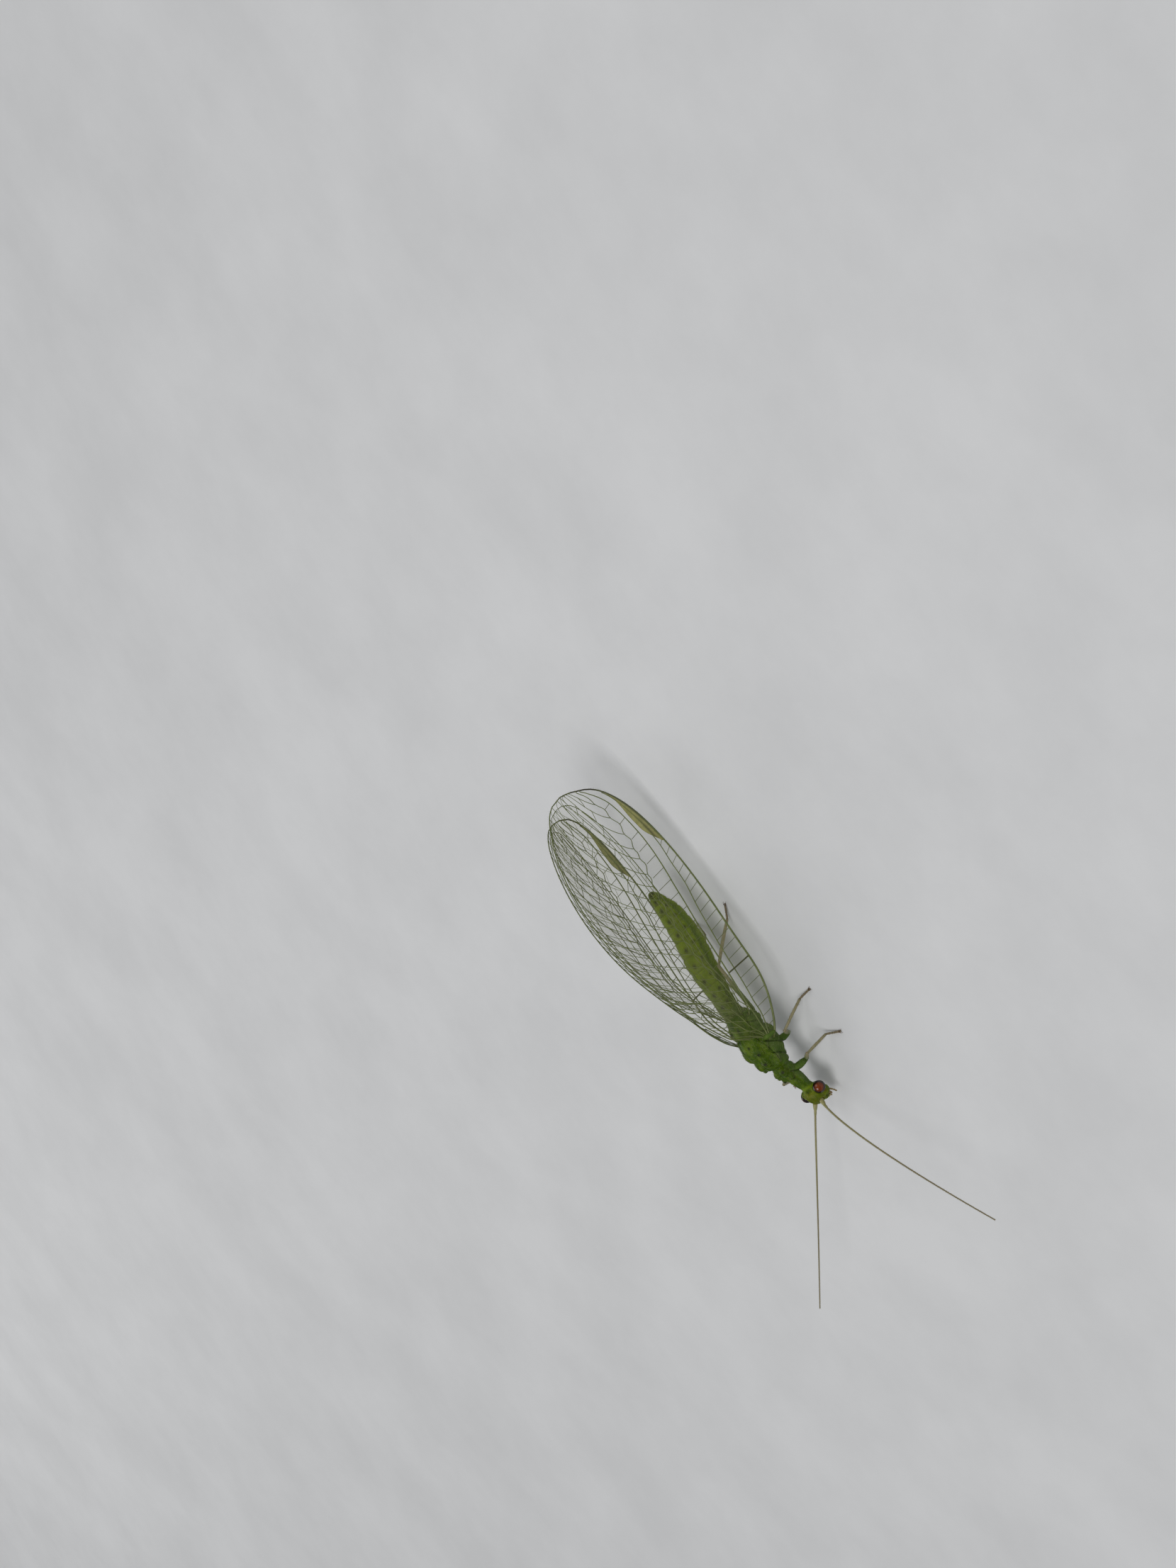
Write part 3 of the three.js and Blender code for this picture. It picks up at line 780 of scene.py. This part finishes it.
TRUNK = np.array([
    (2.62, 1.2, 0.2, 0.2), (2.28, 1.3, 0.3, 0.29), (1.9, 1.42, 0.38, 0.35), (1.5, 1.57, 0.42, 0.4),
    (1.15, 1.68, 0.48, 0.48), (0.93, 1.74, 0.54, 0.54), (0.5, 1.82, 0.68, 0.69), (0.0, 1.86, 0.84, 0.84),
    (-0.4, 1.9, 0.85, 0.85), (-0.75, 1.92, 0.8, 0.79), (-0.97, 1.94, 0.76, 0.74), (-1.4, 1.98, 0.69, 0.65),
    (-1.8, 2.03, 0.55, 0.53), (-2.1, 2.08, 0.41, 0.43), (-2.5, 2.08, 0.42, 0.44), (-3.2, 2.03, 0.5, 0.52),
    (-3.8, 1.98, 0.56, 0.59), (-4.5, 1.9, 0.6, 0.64), (-5.3, 1.75, 0.6, 0.64), (-5.9, 1.68, 0.58, 0.61),
    (-6.4, 1.67, 0.54, 0.57), (-7.1, 1.69, 0.45, 0.48), (-7.5, 1.76, 0.34, 0.36), (-7.89, 1.84, 0.22, 0.24),
    (-8.08, 1.9, 0.11, 0.12),
])
SEGMENT_ENDS = np.array([-2.2, -2.75, -3.45, -4.2, -4.95, -5.7, -6.4, -7.0, -7.5, -7.85, -8.15])
trunk_height, trunk_half_width, trunk_half_height = (
    curve(np.stack([-TRUNK[:, 0], TRUNK[:, k]], 1)) for k in (1, 2, 3)
)
SKIN_VOXEL = 0.026


def add_trunk(mesh):
    x = np.linspace(TRUNK[0, 0], TRUNK[-1, 0], 170)
    turn = ring_angles(40)
    height, wide, tall = trunk_height(-x), trunk_half_width(-x), trunk_half_height(-x)
    ring = np.stack([
        x[:, None] + 0 * turn,
        wide[:, None] * np.sin(turn),
        height[:, None] + tall[:, None] * np.cos(turn),
    ], -1)
    ends = [[x[0] + 0.1, 0, height[0]], [x[-1] - 0.04, 0, height[-1]]]
    mesh.add(np.concatenate([ring.reshape(-1, 3), ends]), ring_faces(len(x), len(turn)))


# The head looks a little to its left
NECK = np.array([2.75, 0.0, 0.0])
HEAD_TURN = rotation(6, "Z")


def head_turned(points):
    return (np.asarray(points, float) - NECK) @ HEAD_TURN.T + NECK


def head_straight(points):
    return (np.asarray(points, float) - NECK) @ HEAD_TURN + NECK


# Rounded forms of head and thorax: centre, radii, lean and roll
HEAD_MIDDLE = [
    (2.9, 0, 1.14, 0.4, 0.46, 0.42, 0, 0), (2.82, 0, 1.38, 0.32, 0.33, 0.2, 12, 0),
    (3.12, 0, 1.02, 0.2, 0.3, 0.34, 12, 0), (3.2, 0, 0.78, 0.14, 0.24, 0.2, 20, 0),
]
HEAD_SIDE = [
    (2.98, 0.3, 0.84, 0.24, 0.16, 0.26, 15, 0), (2.68, 0.42, 1.14, 0.24, 0.2, 0.3, 0, 0),
    (3.14, 0.2, 1.22, 0.14, 0.13, 0.13, 0, 0),
]
# Lobes of the back, shoulders and rims, wing hinges, side plates
THORAX_SIDE = [
    (0.42, 0.27, 2.3, 0.42, 0.25, 0.24, -14, 0), (-0.1, 0.4, 2.42, 0.42, 0.28, 0.24, 0, 0),
    (-1.2, 0.3, 2.45, 0.3, 0.24, 0.17, 8, 0), (1.3, 0.24, 1.9, 0.28, 0.22, 0.2, -14, 0),
    (0.58, 0.55, 2.08, 0.44, 0.28, 0.16, -6, -30), (1.5, 0.3, 1.74, 0.32, 0.16, 0.12, -18, 0),
    (-0.15, 0.74, 2.2, 0.3, 0.16, 0.15, 0, 0), (-1.5, 0.58, 2.2, 0.25, 0.14, 0.13, 0, 0),
    (0.22, 0.5, 1.6, 0.38, 0.22, 0.36, 20, 0), (-0.45, 0.54, 1.58, 0.34, 0.22, 0.38, 20, 0),
    (-1.25, 0.45, 1.65, 0.32, 0.19, 0.34, 16, 0),
]
THORAX_MIDDLE = [(-0.62, 0, 2.52, 0.26, 0.26, 0.2, 0, 0), (-1.55, 0, 2.42, 0.2, 0.2, 0.15, 0, 0)]


def add_forms(mesh, forms, side=LEFT):
    for x, y, z, *radii, lean, roll in forms:
        ball(mesh, (x, side * y, z), radii, lean, roll * side)


def add_head(mesh):
    first = len(mesh.points)
    add_forms(mesh, HEAD_MIDDLE)
    for side in (LEFT, RIGHT):
        add_forms(mesh, HEAD_SIDE, side)
    mesh.points[first:] = [head_turned(part) for part in mesh.points[first:]]
    ball(mesh, (2.5, 0, 1.22), (0.3, 0.3, 0.3))


def add_thorax(mesh):
    for side in (LEFT, RIGHT):
        add_forms(mesh, THORAX_SIDE, side)
        # Small plates that the wings are hinged on
        for wing, thick in ((FORE, 0.12), (HIND, 0.09)):
            across = np.linspace(0.0, 1.0, 14)
            base = placed(wing.point(0.026, across), side)
            inward = base * [1, 0.72, 1] + np.array([0, 0, 0.03])
            tube(mesh, base, thick * (0.6 + 0.4 * np.sin(pi * across)), 12)
            tube(mesh, (base + inward) / 2, thick * 1.1, 12)
            tube(mesh, inward, thick * 1.2, 12)
    add_forms(mesh, THORAX_MIDDLE)


LEGS = {
    "front": dict(coxa=(1.5, 0.24, 1.02), hip=(1.44, 0.5, 0.72), knee=(1.22, 1.6, 1.3),
                  ankle=(1.04, 1.95, 0.2), toe=(1.25, 2.65, 0.06)),
    "middle": dict(coxa=(0.15, 0.34, 1.02), hip=(0.1, 0.6, 0.74), knee=(-0.1, 1.42, 1.42),
                   ankle=(-0.8, 1.95, 0.2), toe=(-0.9, 2.65, 0.06)),
    "hind": dict(coxa=(-1.3, 0.24, 1.42), hip=(-1.58, 0.3, 1.32), knee=(-3.9, 0.78, 1.78),
                 ankle=(-5.3, 1.06, 0.2), toe=(-5.8, 1.3, 0.06)),
}
RIGHT_FRONT = dict(LEGS["front"], knee=(1.86, 1.45, 1.2), ankle=(2.0, 1.95, 0.2), toe=(2.3, 2.6, 0.06))


def add_coxae(mesh):
    for leg in LEGS.values():
        for side in (LEFT, RIGHT):
            start, end = np.array(leg["coxa"]) * [1, side, 1], np.array(leg["hip"]) * [1, side, 1]
            start = start + (0, 0, 0.35)
            path = path_through([start, (start + end) / 2 + (0, side * 0.04, 0), end], 12)
            tube(mesh, path, 0.085 + 0.085 * np.sin(pi * np.linspace(0.3, 1, 12)) ** 0.8, 16)


# Grooves between the thorax's rings: place, depth and width
THORAX_GROOVES = [(1.06, 0.09, 0.07), (-0.86, 0.08, 0.06), (-1.95, 0.06, 0.07)]
# Seams of the thorax's sides: place, lean and width
SIDE_SEAMS = [(1.52, 0.5, 0.03), (0.5, 0.6, 0.035), (-0.08, 0.55, 0.035), (-0.62, 0.5, 0.03),
              (-1.2, 0.45, 0.035), (-1.62, 0.4, 0.03)]
# Dark spots: place on one side, and size
THORAX_SPOTS = [(1.75, 0.28, 0.07), (1.3, 0.36, 0.08), (0.6, 0.34, 0.09), (0.1, 0.5, 0.08),
                (-0.35, 0.3, 0.07), (-1.2, 0.32, 0.08), (-0.75, 0.0, 0.06)]
HEAD_SPOTS = [(3.27, 0.17, 0.8, 0.04), (2.66, 0.2, 1.54, 0.04), (3.28, 0.0, 1.12, 0.035)]
EYE_PLACE = np.array([2.75, 0.6, 1.15])
EYE_RADIUS = 0.268
SOCKET = np.array([3.2, 0.23, 1.2])
# A reddish stripe runs from below each eye to the jaws
CHEEK, JAW = np.array([2.98, 0.42, 0.93]), np.array([3.2, 0.2, 0.68])


def mirrored(points):
    """Points with y as the distance from the middle, because left and right are alike."""
    return np.stack([points[:, 0], np.abs(points[:, 1]), points[:, 2]], 1)


def relief(points):
    """How far each point of the skin is raised along its normal, and its tones."""
    x, y, z = mirrored(points).T
    on_head = mirrored(head_straight(points))
    head_x, head_y, head_z = on_head.T
    mid, wide, tall = trunk_height(-x), trunk_half_width(-x), trunk_half_height(-x)
    angle = np.arctan2(y / np.maximum(wide, 0.05), (z - mid) / np.maximum(tall, 0.05))
    abdomen = smooth(-2.1, -2.3, x)
    thorax = (1 - abdomen) * smooth(2.5, 2.3, x)
    head = smooth(2.45, 2.6, x)
    # Abdomen: each plate swells backwards and drops at its hind edge
    edge = np.clip(np.searchsorted(-SEGMENT_ENDS, -x) - 1, 0, len(SEGMENT_ENDS) - 2)
    front, back = SEGMENT_ENDS[edge], SEGMENT_ENDS[edge + 1]
    along = np.clip((front - x) / (front - back), 0, 1)
    plate = 0.026 * (smooth(0, 0.3, along) - smooth(0.9, 1.0, along)) - 0.012
    fold = bell(angle, 1.75, 0.17)
    wrinkle = 0.008 * np.sin(x * 48) * bell(angle, 1.75, 0.25)
    raise_by = abdomen * (plate * (1 - 0.7 * fold) - 0.06 * fold + wrinkle)
    raise_by += abdomen * 0.02 * bell(angle, 1.45, 0.12)
    # Thorax: grooves between its three rings and along its middle
    grooves = sum(depth * bell(x, place, width) for place, depth, width in THORAX_GROOVES)
    for place in (1.45, 1.85):
        grooves += 0.03 * bell(x, place, 0.05) * (angle < 1.4)
    grooves += 0.05 * bell(y, 0, 0.05) * (z > mid) * smooth(-0.3, 0.0, x)
    grooves += 0.035 * bell(y - 0.27, 0.12 * np.sin(x * 2.2), 0.035) * (z > mid + 0.3) * (x < 0.9)
    # Seams between the side plates, each leaning forward, with a fold along the wings' bases
    side_seam = sum(bell(x + lean * (z - mid), place, width) for place, lean, width in SIDE_SEAMS)
    side_seam *= smooth(1.1, 1.25, angle)
    wing_fold = bell(angle - 0.12 * np.sin(x * 3.1), 1.2, 0.05)
    side_seam += 0.8 * wing_fold * smooth(-1.9, -1.7, x) * smooth(1.0, 0.8, x)
    raise_by -= thorax * (grooves + 0.055 * side_seam)
    # Head: groove round each eye, over the frons, behind the vertex and round each feeler's socket
    from_eye = np.linalg.norm(on_head - EYE_PLACE, axis=1)
    from_socket = np.linalg.norm(on_head - SOCKET, axis=1)
    frons = smooth(0.82, 0.9, head_z) * smooth(1.14, 1.06, head_z) * (head_x > 3.0)
    raise_by += head * (
        0.03 * bell(from_eye, EYE_RADIUS + 0.05, 0.035)
        - 0.03 * bell(head_z, 0.88, 0.03) * (head_x > 3.1)
        - 0.02 * bell(head_y, 0, 0.03) * (head_z > 1.3)
        - 0.025 * bell(head_x, 2.7, 0.04) * (head_z > 1.2)
        + 0.03 * bell(from_socket, 0.15, 0.03) - 0.03 * bell(from_socket, 0.09, 0.04)
        - 0.028 * bell(head_y, 0.04 + 0.75 * (1.12 - head_z), 0.025) * frons
        + 0.02 * bell(head_y, 0.14, 0.08) * bell(head_x, 2.85, 0.12) * (head_z > 1.3)
    )
    # Tones
    lit = smooth(0.1, 0.5, (z - mid) / np.maximum(tall, 0.1))
    green = np.maximum(thorax * (0.45 + 0.5 * lit), 0.4 * abdomen * smooth(-4.2, -2.2, x))
    green = np.maximum(green, 0.7 * head * smooth(2.85, 2.65, head_x))
    bright = 0.95 * bell(head_y, 0, 0.32) * head * (head_z > 1.0) * smooth(2.6, 2.8, head_x) + 0.5 * head
    bright += 0.2 * thorax * lit * (1 - 0.5 * bell(y, 0, 0.12))
    grey = 0.7 * thorax * smooth(1.1, 1.5, angle) + 0.6 * abdomen * bell(angle, 1.75, 0.25)
    grey += 0.5 * head * smooth(0.95, 0.7, z)
    pale = 0.75 * bell(x, 0.62, 0.46) * smooth(0.74, 0.86, y) * bell(z, 2.08, 0.2)
    dark = 0.3 * thorax * side_seam
    # Painted shade under the outer end of each shoulder lobe
    dark += 0.6 * smooth(0.8, 0.86, y) * smooth(2.12, 2.02, z) * bell(x, 0.6, 0.4) * (z > 1.85)
    for a, b in pairwise(SEGMENT_ENDS):
        for spread, size, share in ((0.5, 0.095, 0.35), (1.25, 0.07, 0.55)):
            far_x = (x - a - (b - a) * share) / (size * 1.3)
            far_side = (angle - spread) * np.maximum(wide, 0.1) / size
            dark += abdomen * 0.95 * np.exp(-(far_x ** 2 + far_side ** 2))
        dark += abdomen * 0.35 * bell(x, b, 0.03) * (angle < 1.6)
    for spot_x, spot_y, size in THORAX_SPOTS:
        dark += thorax * (z > mid) * bell(np.hypot(x - spot_x, y - spot_y), 0, size)
    for *place, size in HEAD_SPOTS:
        dark += bell(np.linalg.norm(on_head - place, axis=1), 0, size)
    share = np.clip((on_head - CHEEK) @ (JAW - CHEEK) / np.dot(JAW - CHEEK, JAW - CHEEK), 0, 1)
    from_stripe = np.linalg.norm(on_head - CHEEK - share[:, None] * (JAW - CHEEK), axis=1)
    red = 0.85 * head * bell(from_stripe, 0, 0.07)
    tones = dict(green=green, bright=bright, grey=grey, pale=pale, red=red, dark=dark)
    return raise_by, {key: np.clip(value, 0, 1) for key, value in tones.items()}


def keep_largest_shell(data):
    """Drops the tiny closed hollows that remeshing can leave inside the skin."""
    bm = bmesh.new()
    bm.from_mesh(data)
    left, shells = set(bm.verts), []
    while left:
        shell, waiting = [], [left.pop()]
        while waiting:
            vertex = waiting.pop()
            shell.append(vertex)
            near = {edge.other_vert(vertex) for edge in vertex.link_edges} & left
            left -= near
            waiting += near
        shells.append(shell)
    for shell in sorted(shells, key=len)[:-1]:
        bmesh.ops.delete(bm, geom=shell, context="VERTS")
    bm.to_mesh(data)
    bm.free()


def build_skin():
    """One closed skin over head, thorax, coxae and abdomen."""
    mesh = Mesh()
    add_trunk(mesh)
    add_head(mesh)
    add_thorax(mesh)
    add_coxae(mesh)
    shell = add_object("shell", mesh.data("shell"))
    remesh = shell.modifiers.new("remesh", "REMESH")
    remesh.mode = "VOXEL"
    remesh.voxel_size = SKIN_VOXEL
    relax = shell.modifiers.new("relax", "SMOOTH")
    relax.factor = 0.5
    relax.iterations = 7
    data = bpy.data.meshes.new_from_object(shell.evaluated_get(bpy.context.evaluated_depsgraph_get()))
    bpy.data.objects.remove(shell)
    keep_largest_shell(data)
    normal = read_vectors(data.vertex_normals, "vector")
    co = read_vectors(data.vertices, "co")
    raise_by, tones = relief(co)
    co = co + normal * raise_by[:, None]
    data.vertices.foreach_set("co", co.ravel())
    nodes = ["head", "prothorax", "mesothorax", "metathorax", "abdomen"]
    piece("body_skin", data, BODY, nodes, tones)
    return co, normal


def build_body_hairs(skin, normal):
    """Fine hairs that lean backwards all over the skin."""
    mesh = Mesh()
    for k in rng.choice(len(skin), 5200, replace=False):
        root, up = skin[k], normal[k]
        if np.linalg.norm(head_straight(root) * [1, np.sign(root[1]), 1] - EYE_PLACE) < EYE_RADIUS + 0.06:
            continue
        lean = unit(np.array([-1.0, 0, -0.15]) + rng.normal(0, 0.15, 3))
        length = rng.uniform(0.05, 0.1) if root[0] < 2.4 else rng.uniform(0.03, 0.06)
        turn = atan2(root[1], root[2] - trunk_height(-root[0]))
        uv = bake_patch((root[0] + 8.3) / 12, 0.5 + turn / FULL_TURN)
        hair(mesh, root - up * 0.01, unit(up * 0.9 + lean * 0.8), length, 0.0038, lean * 0.25, uv)
    piece("body_hairs", mesh, HAIR, bake_map=True)


def build_eyes():
    """Domed eyes of many small lenses."""
    for side, word in SIDES:
        bm = bmesh.new()
        bmesh.ops.create_icosphere(bm, subdivisions=5, radius=1.0)
        middles = unit([f.calc_center_median() for f in bm.faces]) * (EYE_RADIUS * 0.985)
        tips = unit([v.co for v in bm.verts]) * (EYE_RADIUS * 1.012)
        faces = []
        for v in bm.verts:
            around = [f.index for f in v.link_faces]
            axes = square_axes(np.array(v.co))
            spin = [atan2(*(np.dot(middles[f], axis) for axis in axes)) for f in around]
            order = [f for _, f in sorted(zip(spin, around))]
            for a, b in zip(order, order[1:] + order[:1]):
                faces.append((len(middles) + v.index, a, b))
        bm.free()
        points = np.concatenate([middles, tips])
        # Painted light and shade: the left eye is orange where it faces the camera and darkens towards its
        # rim (the rim mask), and the right eye is its mirror image
        rim = 1 - smooth(0.5, 0.95, unit(points) @ unit([0.06, side * 0.85, 0.5]))
        lens = Mesh()
        lens.add(head_turned(points * [1.0, 0.9, 1.06] + EYE_PLACE * [1, side, 1]), faces)
        piece("eye_lenses_" + word, lens, EYE_SURFACE, ["eye_" + word], {"rim": rim})


# Feelers: a thick first joint, a small second one, then a long row of rings

FEELER_BASE = np.array([3.23, 0.27, 1.21])
FEELER_SPREAD, FEELER_RISE = 7.28, 1.46
FEELER_SIDES = {LEFT: dict(reach=7.31, out=1.13, up=0.68), RIGHT: dict(reach=7.78, out=1.09, up=0.69)}
RING_COUNT = 94


def feeler_path(side, t):
    shape = FEELER_SIDES[side]
    x = FEELER_BASE[0] + shape["reach"] * t
    y = FEELER_BASE[1] + FEELER_SPREAD * t ** shape["out"]
    z = FEELER_BASE[2] + FEELER_RISE * t ** shape["up"]
    return np.stack([x, side * y, z], -1)


def build_feelers():
    for side, word in SIDES:
        mesh, hairs = Mesh(), Mesh()
        t = np.linspace(0, 1, 12)
        socket, end = np.array([3.08, side * 0.2, 1.18]), feeler_path(side, 0.03)
        tube(mesh, socket + (end - socket) * t[:, None], 0.1 * np.sin(pi * (0.22 + 0.62 * t)) ** 0.6, 14)
        second = 0.062 * np.sin(pi * (0.2 + 0.62 * t)) ** 0.5
        tube(mesh, feeler_path(side, 0.022 + 0.03 * t), second, 12, 0.1)
        joints = np.linspace(0.046, 1.0, RING_COUNT + 1)
        rows = []
        for k, (a, b) in enumerate(pairwise(joints)):
            along = k / RING_COUNT
            thinner = 0.02 * along ** 0.8
            brown = 0.4 * smooth(0.1, 0.7, along)
            for share, swell, dark in ((0.0, 0.8, 0.75), (0.18, 1.0, 0.2), (0.82, 1.04, 0.1)):
                rows.append((a + (b - a) * share, (0.044 - thinner) * swell, min(1, dark + brown)))
            for share in (0.3, 0.75):
                at = feeler_path(side, np.array([a + (b - a) * share, b]))
                on = unit(at[1] - at[0])
                u, v = square_axes(on)
                for j in range(5):
                    turn = j * FULL_TURN / 5 + k + share * 3
                    out = u * cos(turn) + v * sin(turn)
                    root = at[0] + out * (0.043 - thinner) * 0.9
                    hair(hairs, root, unit(out + on * 1.3), 0.055, 0.0035, on * 0.15,
                         bake_patch(along, j / 5 + 0.1))
        rows.append((1.0, 0.02, 0.6))
        places, radii, tones = np.array(rows).T
        tube(mesh, feeler_path(side, places), radii, 8, tones)
        piece("feeler_" + word, mesh, FEELER, ["antenna_" + word])
        piece("feeler_hairs_" + word, hairs, HAIR, bake_map=True)


# Legs

def limb_path(a, b, bow, count):
    """From a to b with a slight bow upwards."""
    t = np.linspace(0, 1, count)[:, None]
    a, b = np.array(a), np.array(b)
    return a + (b - a) * t + np.array([0, 0, bow]) * np.sin(pi * t)


def build_leg(name, side, leg, hind):
    joints = {key: np.array(value) * [1, side, 1] for key, value in leg.items()}
    hip, knee, ankle, toe = (joints[key] for key in ("hip", "knee", "ankle", "toe"))
    mesh = Mesh()
    t = np.linspace(0, 1, 26)
    femur = limb_path(hip, knee, 0.04, len(t))
    tube(mesh, femur, 0.07 + 0.028 * np.sin(pi * t ** 0.8), 14, 0.35 * smooth(0.9, 1, t))
    ball(mesh, knee, (0.075, 0.075, 0.075), tone=0.25, rings=10, sides=14)
    tibia = limb_path(knee, ankle, 0.03, len(t))
    swell = 0.022 if hind else 0.006
    tone = 0.3 * (1 - smooth(0, 0.08, t)) + 0.5 * smooth(0.92, 1, t)
    tube(mesh, tibia, 0.055 + swell * np.sin(pi * t), 12, tone)
    # Five foot joints, the first the longest, then two claws and a pad
    ahead = toe - ankle
    shares = np.cumsum([0, 0.36, 0.18, 0.14, 0.12, 0.2])
    for a, b in pairwise(shares):
        part = np.array([a + 0.01, a + (b - a) * 0.3, a + (b - a) * 0.8, b - 0.005])
        path = ankle + ahead * part[:, None]
        path[:, 2] = np.maximum(path[:, 2], 0.052)
        tube(mesh, path, [0.034, 0.046, 0.052, 0.036], 10, [0.8, 0.5, 0.55, 0.9])
    flat = unit(ahead * [1, 1, 0])
    across = np.cross(flat, [0, 0, 1])
    tip = ankle + ahead
    tip[2] = 0.055
    u = np.linspace(0, 1, 8)[:, None]
    lift = np.array([0, 0, 1]) * (0.04 * np.sin(pi * u) - 0.035 * u)
    for turn in (-1, 1):
        claw = tip + flat * 0.16 * u + across * turn * (0.03 + 0.05 * u) + lift
        tube(mesh, claw, 0.02 * (1 - 0.8 * u[:, 0]), 6, 1.0)
    ball(mesh, tip + flat * 0.05 - (0, 0, 0.02), (0.05, 0.05, 0.03), tone=0.7, rings=8, sides=12)
    far = np.linalg.norm(np.concatenate(mesh.points) - hip, axis=1)
    green = 0.9 * (1 - smooth(0.35, 0.95, far / np.linalg.norm(knee - hip)))
    place, word = name.split("_")
    nodes = ["leg_%s_%s_%s" % (place, part, word) for part in ("femur", "tibia", "tarsus")]
    piece("leg_skin_" + name, mesh, LEG, nodes, {"green": green})
    hairs = Mesh()
    for path, thick, number, reach in ((femur, 0.085, 110, 0.07), (tibia, 0.06, 190, 0.065)):
        length = len(path) - 1
        for _ in range(number):
            at = rng.uniform(0.04, 0.96) * length
            low = int(at)
            step = path[low + 1] - path[low]
            on = unit(step)
            u, v = square_axes(on)
            turn = rng.uniform(0, FULL_TURN)
            out = u * cos(turn) + v * sin(turn)
            hair(hairs, path[low] + step * (at - low) + out * thick * 0.85, unit(out + on * 1.2),
                 reach * rng.uniform(0.8, 1.3), 0.0035, on * 0.1, bake_patch(at / length, turn / FULL_TURN))
    piece("leg_hairs_" + name, hairs, HAIR, bake_map=True)


def build_legs():
    for side, word in SIDES:
        for name, leg in LEGS.items():
            shape = RIGHT_FRONT if (name == "front" and side == RIGHT) else leg
            build_leg(name + "_" + word, side, shape, name == "hind")


# The mouth's jointed feelers: path, number of joints' ends, and radii along each joint
PALPS = [
    ([(3.06, 0.22, 0.64), (3.14, 0.3, 0.54), (3.26, 0.3, 0.44), (3.34, 0.22, 0.34)], 5,
     [0.026, 0.033, 0.036, 0.036, 0.034, 0.024]),
    ([(3.02, 0.1, 0.56), (3.1, 0.15, 0.46), (3.17, 0.12, 0.38)], 4, [0.022, 0.029, 0.031, 0.028, 0.016]),
]


def build_mouth():
    """Upper lip, jaws and the jointed feelers of the mouth."""
    mesh = Mesh()
    ball(mesh, (3.27, 0, 0.64), (0.07, 0.16, 0.12), 18, tone=0.15)
    for side in (LEFT, RIGHT):
        jaw = np.array([(3.12, 0.2, 0.7), (3.25, 0.17, 0.57), (3.29, 0.05, 0.48)]) * [1, side, 1]
        tube(mesh, path_through(jaw, 10), np.linspace(0.075, 0.02, 10), 10, np.linspace(0.4, 1.0, 10))
        for points, count, radii in PALPS:
            joints = path_through(np.array(points) * [1, side, 1], count)
            t = np.linspace(0.04, 0.98, len(radii))[:, None]
            for a, b in pairwise(joints):
                tube(mesh, a + (b - a) * t, radii, 10, 0.55, round_ends=False)
    ball(mesh, (3.06, 0, 0.62), (0.14, 0.17, 0.13), tone=0.3)
    mesh.points = [head_turned(part) for part in mesh.points]
    piece("mouth_skin", mesh, MOUTH, ["mouthparts"])


# Camera, light and floor

def build_camera():
    aim = np.array([-13.428, 0.0, 1.1983])
    back = unit([0.0626, sin(radians(57)), cos(radians(57))])
    distance, roll, lens_length = 120.0, 0.9415, 64.5
    flat = unit([1.0, 0, 0] - back * back[0])
    square = np.cross(flat, back)
    right = cos(roll) * flat - sin(roll) * square
    down = sin(roll) * flat + cos(roll) * square
    data = bpy.data.cameras.new("camera")
    data.lens = lens_length
    data.sensor_width = 36
    data.clip_start = 0.001
    data.clip_end = 10
    camera = add_object("camera", data)
    place = (aim + back * distance + SHIFT) * MM
    turn = np.stack([right, -down, back], 1)
    camera.matrix_world = Matrix([(*turn[k], place[k]) for k in range(3)] + [(0, 0, 0, 1)])
    bpy.context.scene.camera = camera


def soft_light(name, place, size, power):
    data = bpy.data.lights.new(name, "AREA")
    data.shape = "DISK"
    data.size = size * MM
    data.energy = power
    light = add_object(name, data)
    light.location = Vector(place) * MM
    light.rotation_euler = (-Vector(place)).to_track_quat("-Z", "Y").to_euler()


FLOOR_REACH = 0.9


def build_studio():
    world = bpy.data.worlds.new("soft_room")
    world.use_nodes = True
    sky = world.node_tree.nodes["Background"]
    sky.inputs["Color"].default_value = (0.93, 0.96, 1.0, 1)
    sky.inputs["Strength"].default_value = 0.23
    bpy.context.scene.world = world
    bpy.context.scene.view_settings.view_transform = "Standard"
    soft_light("key_light", (60, 60, 190), 120, 0.17)
    soft_light("fill_light", (-140, 60, 110), 140, 0.063)
    soft_light("back_light", (-30, -150, 90), 120, 0.054)
    mesh = bpy.data.meshes.new("floor")
    corners = [(x * FLOOR_REACH, y * FLOOR_REACH, 0) for x, y in ((-1, -1), (1, -1), (1, 1), (-1, 1))]
    mesh.from_pydata(corners, [], [(0, 1, 2, 3)])
    mesh.materials.append(FLOOR)
    add_object("floor", mesh)


build_camera()
build_studio()
build_wings()
skin, skin_normal = build_skin()
build_body_hairs(skin, skin_normal)
build_eyes()
build_feelers()
build_legs()
build_mouth()
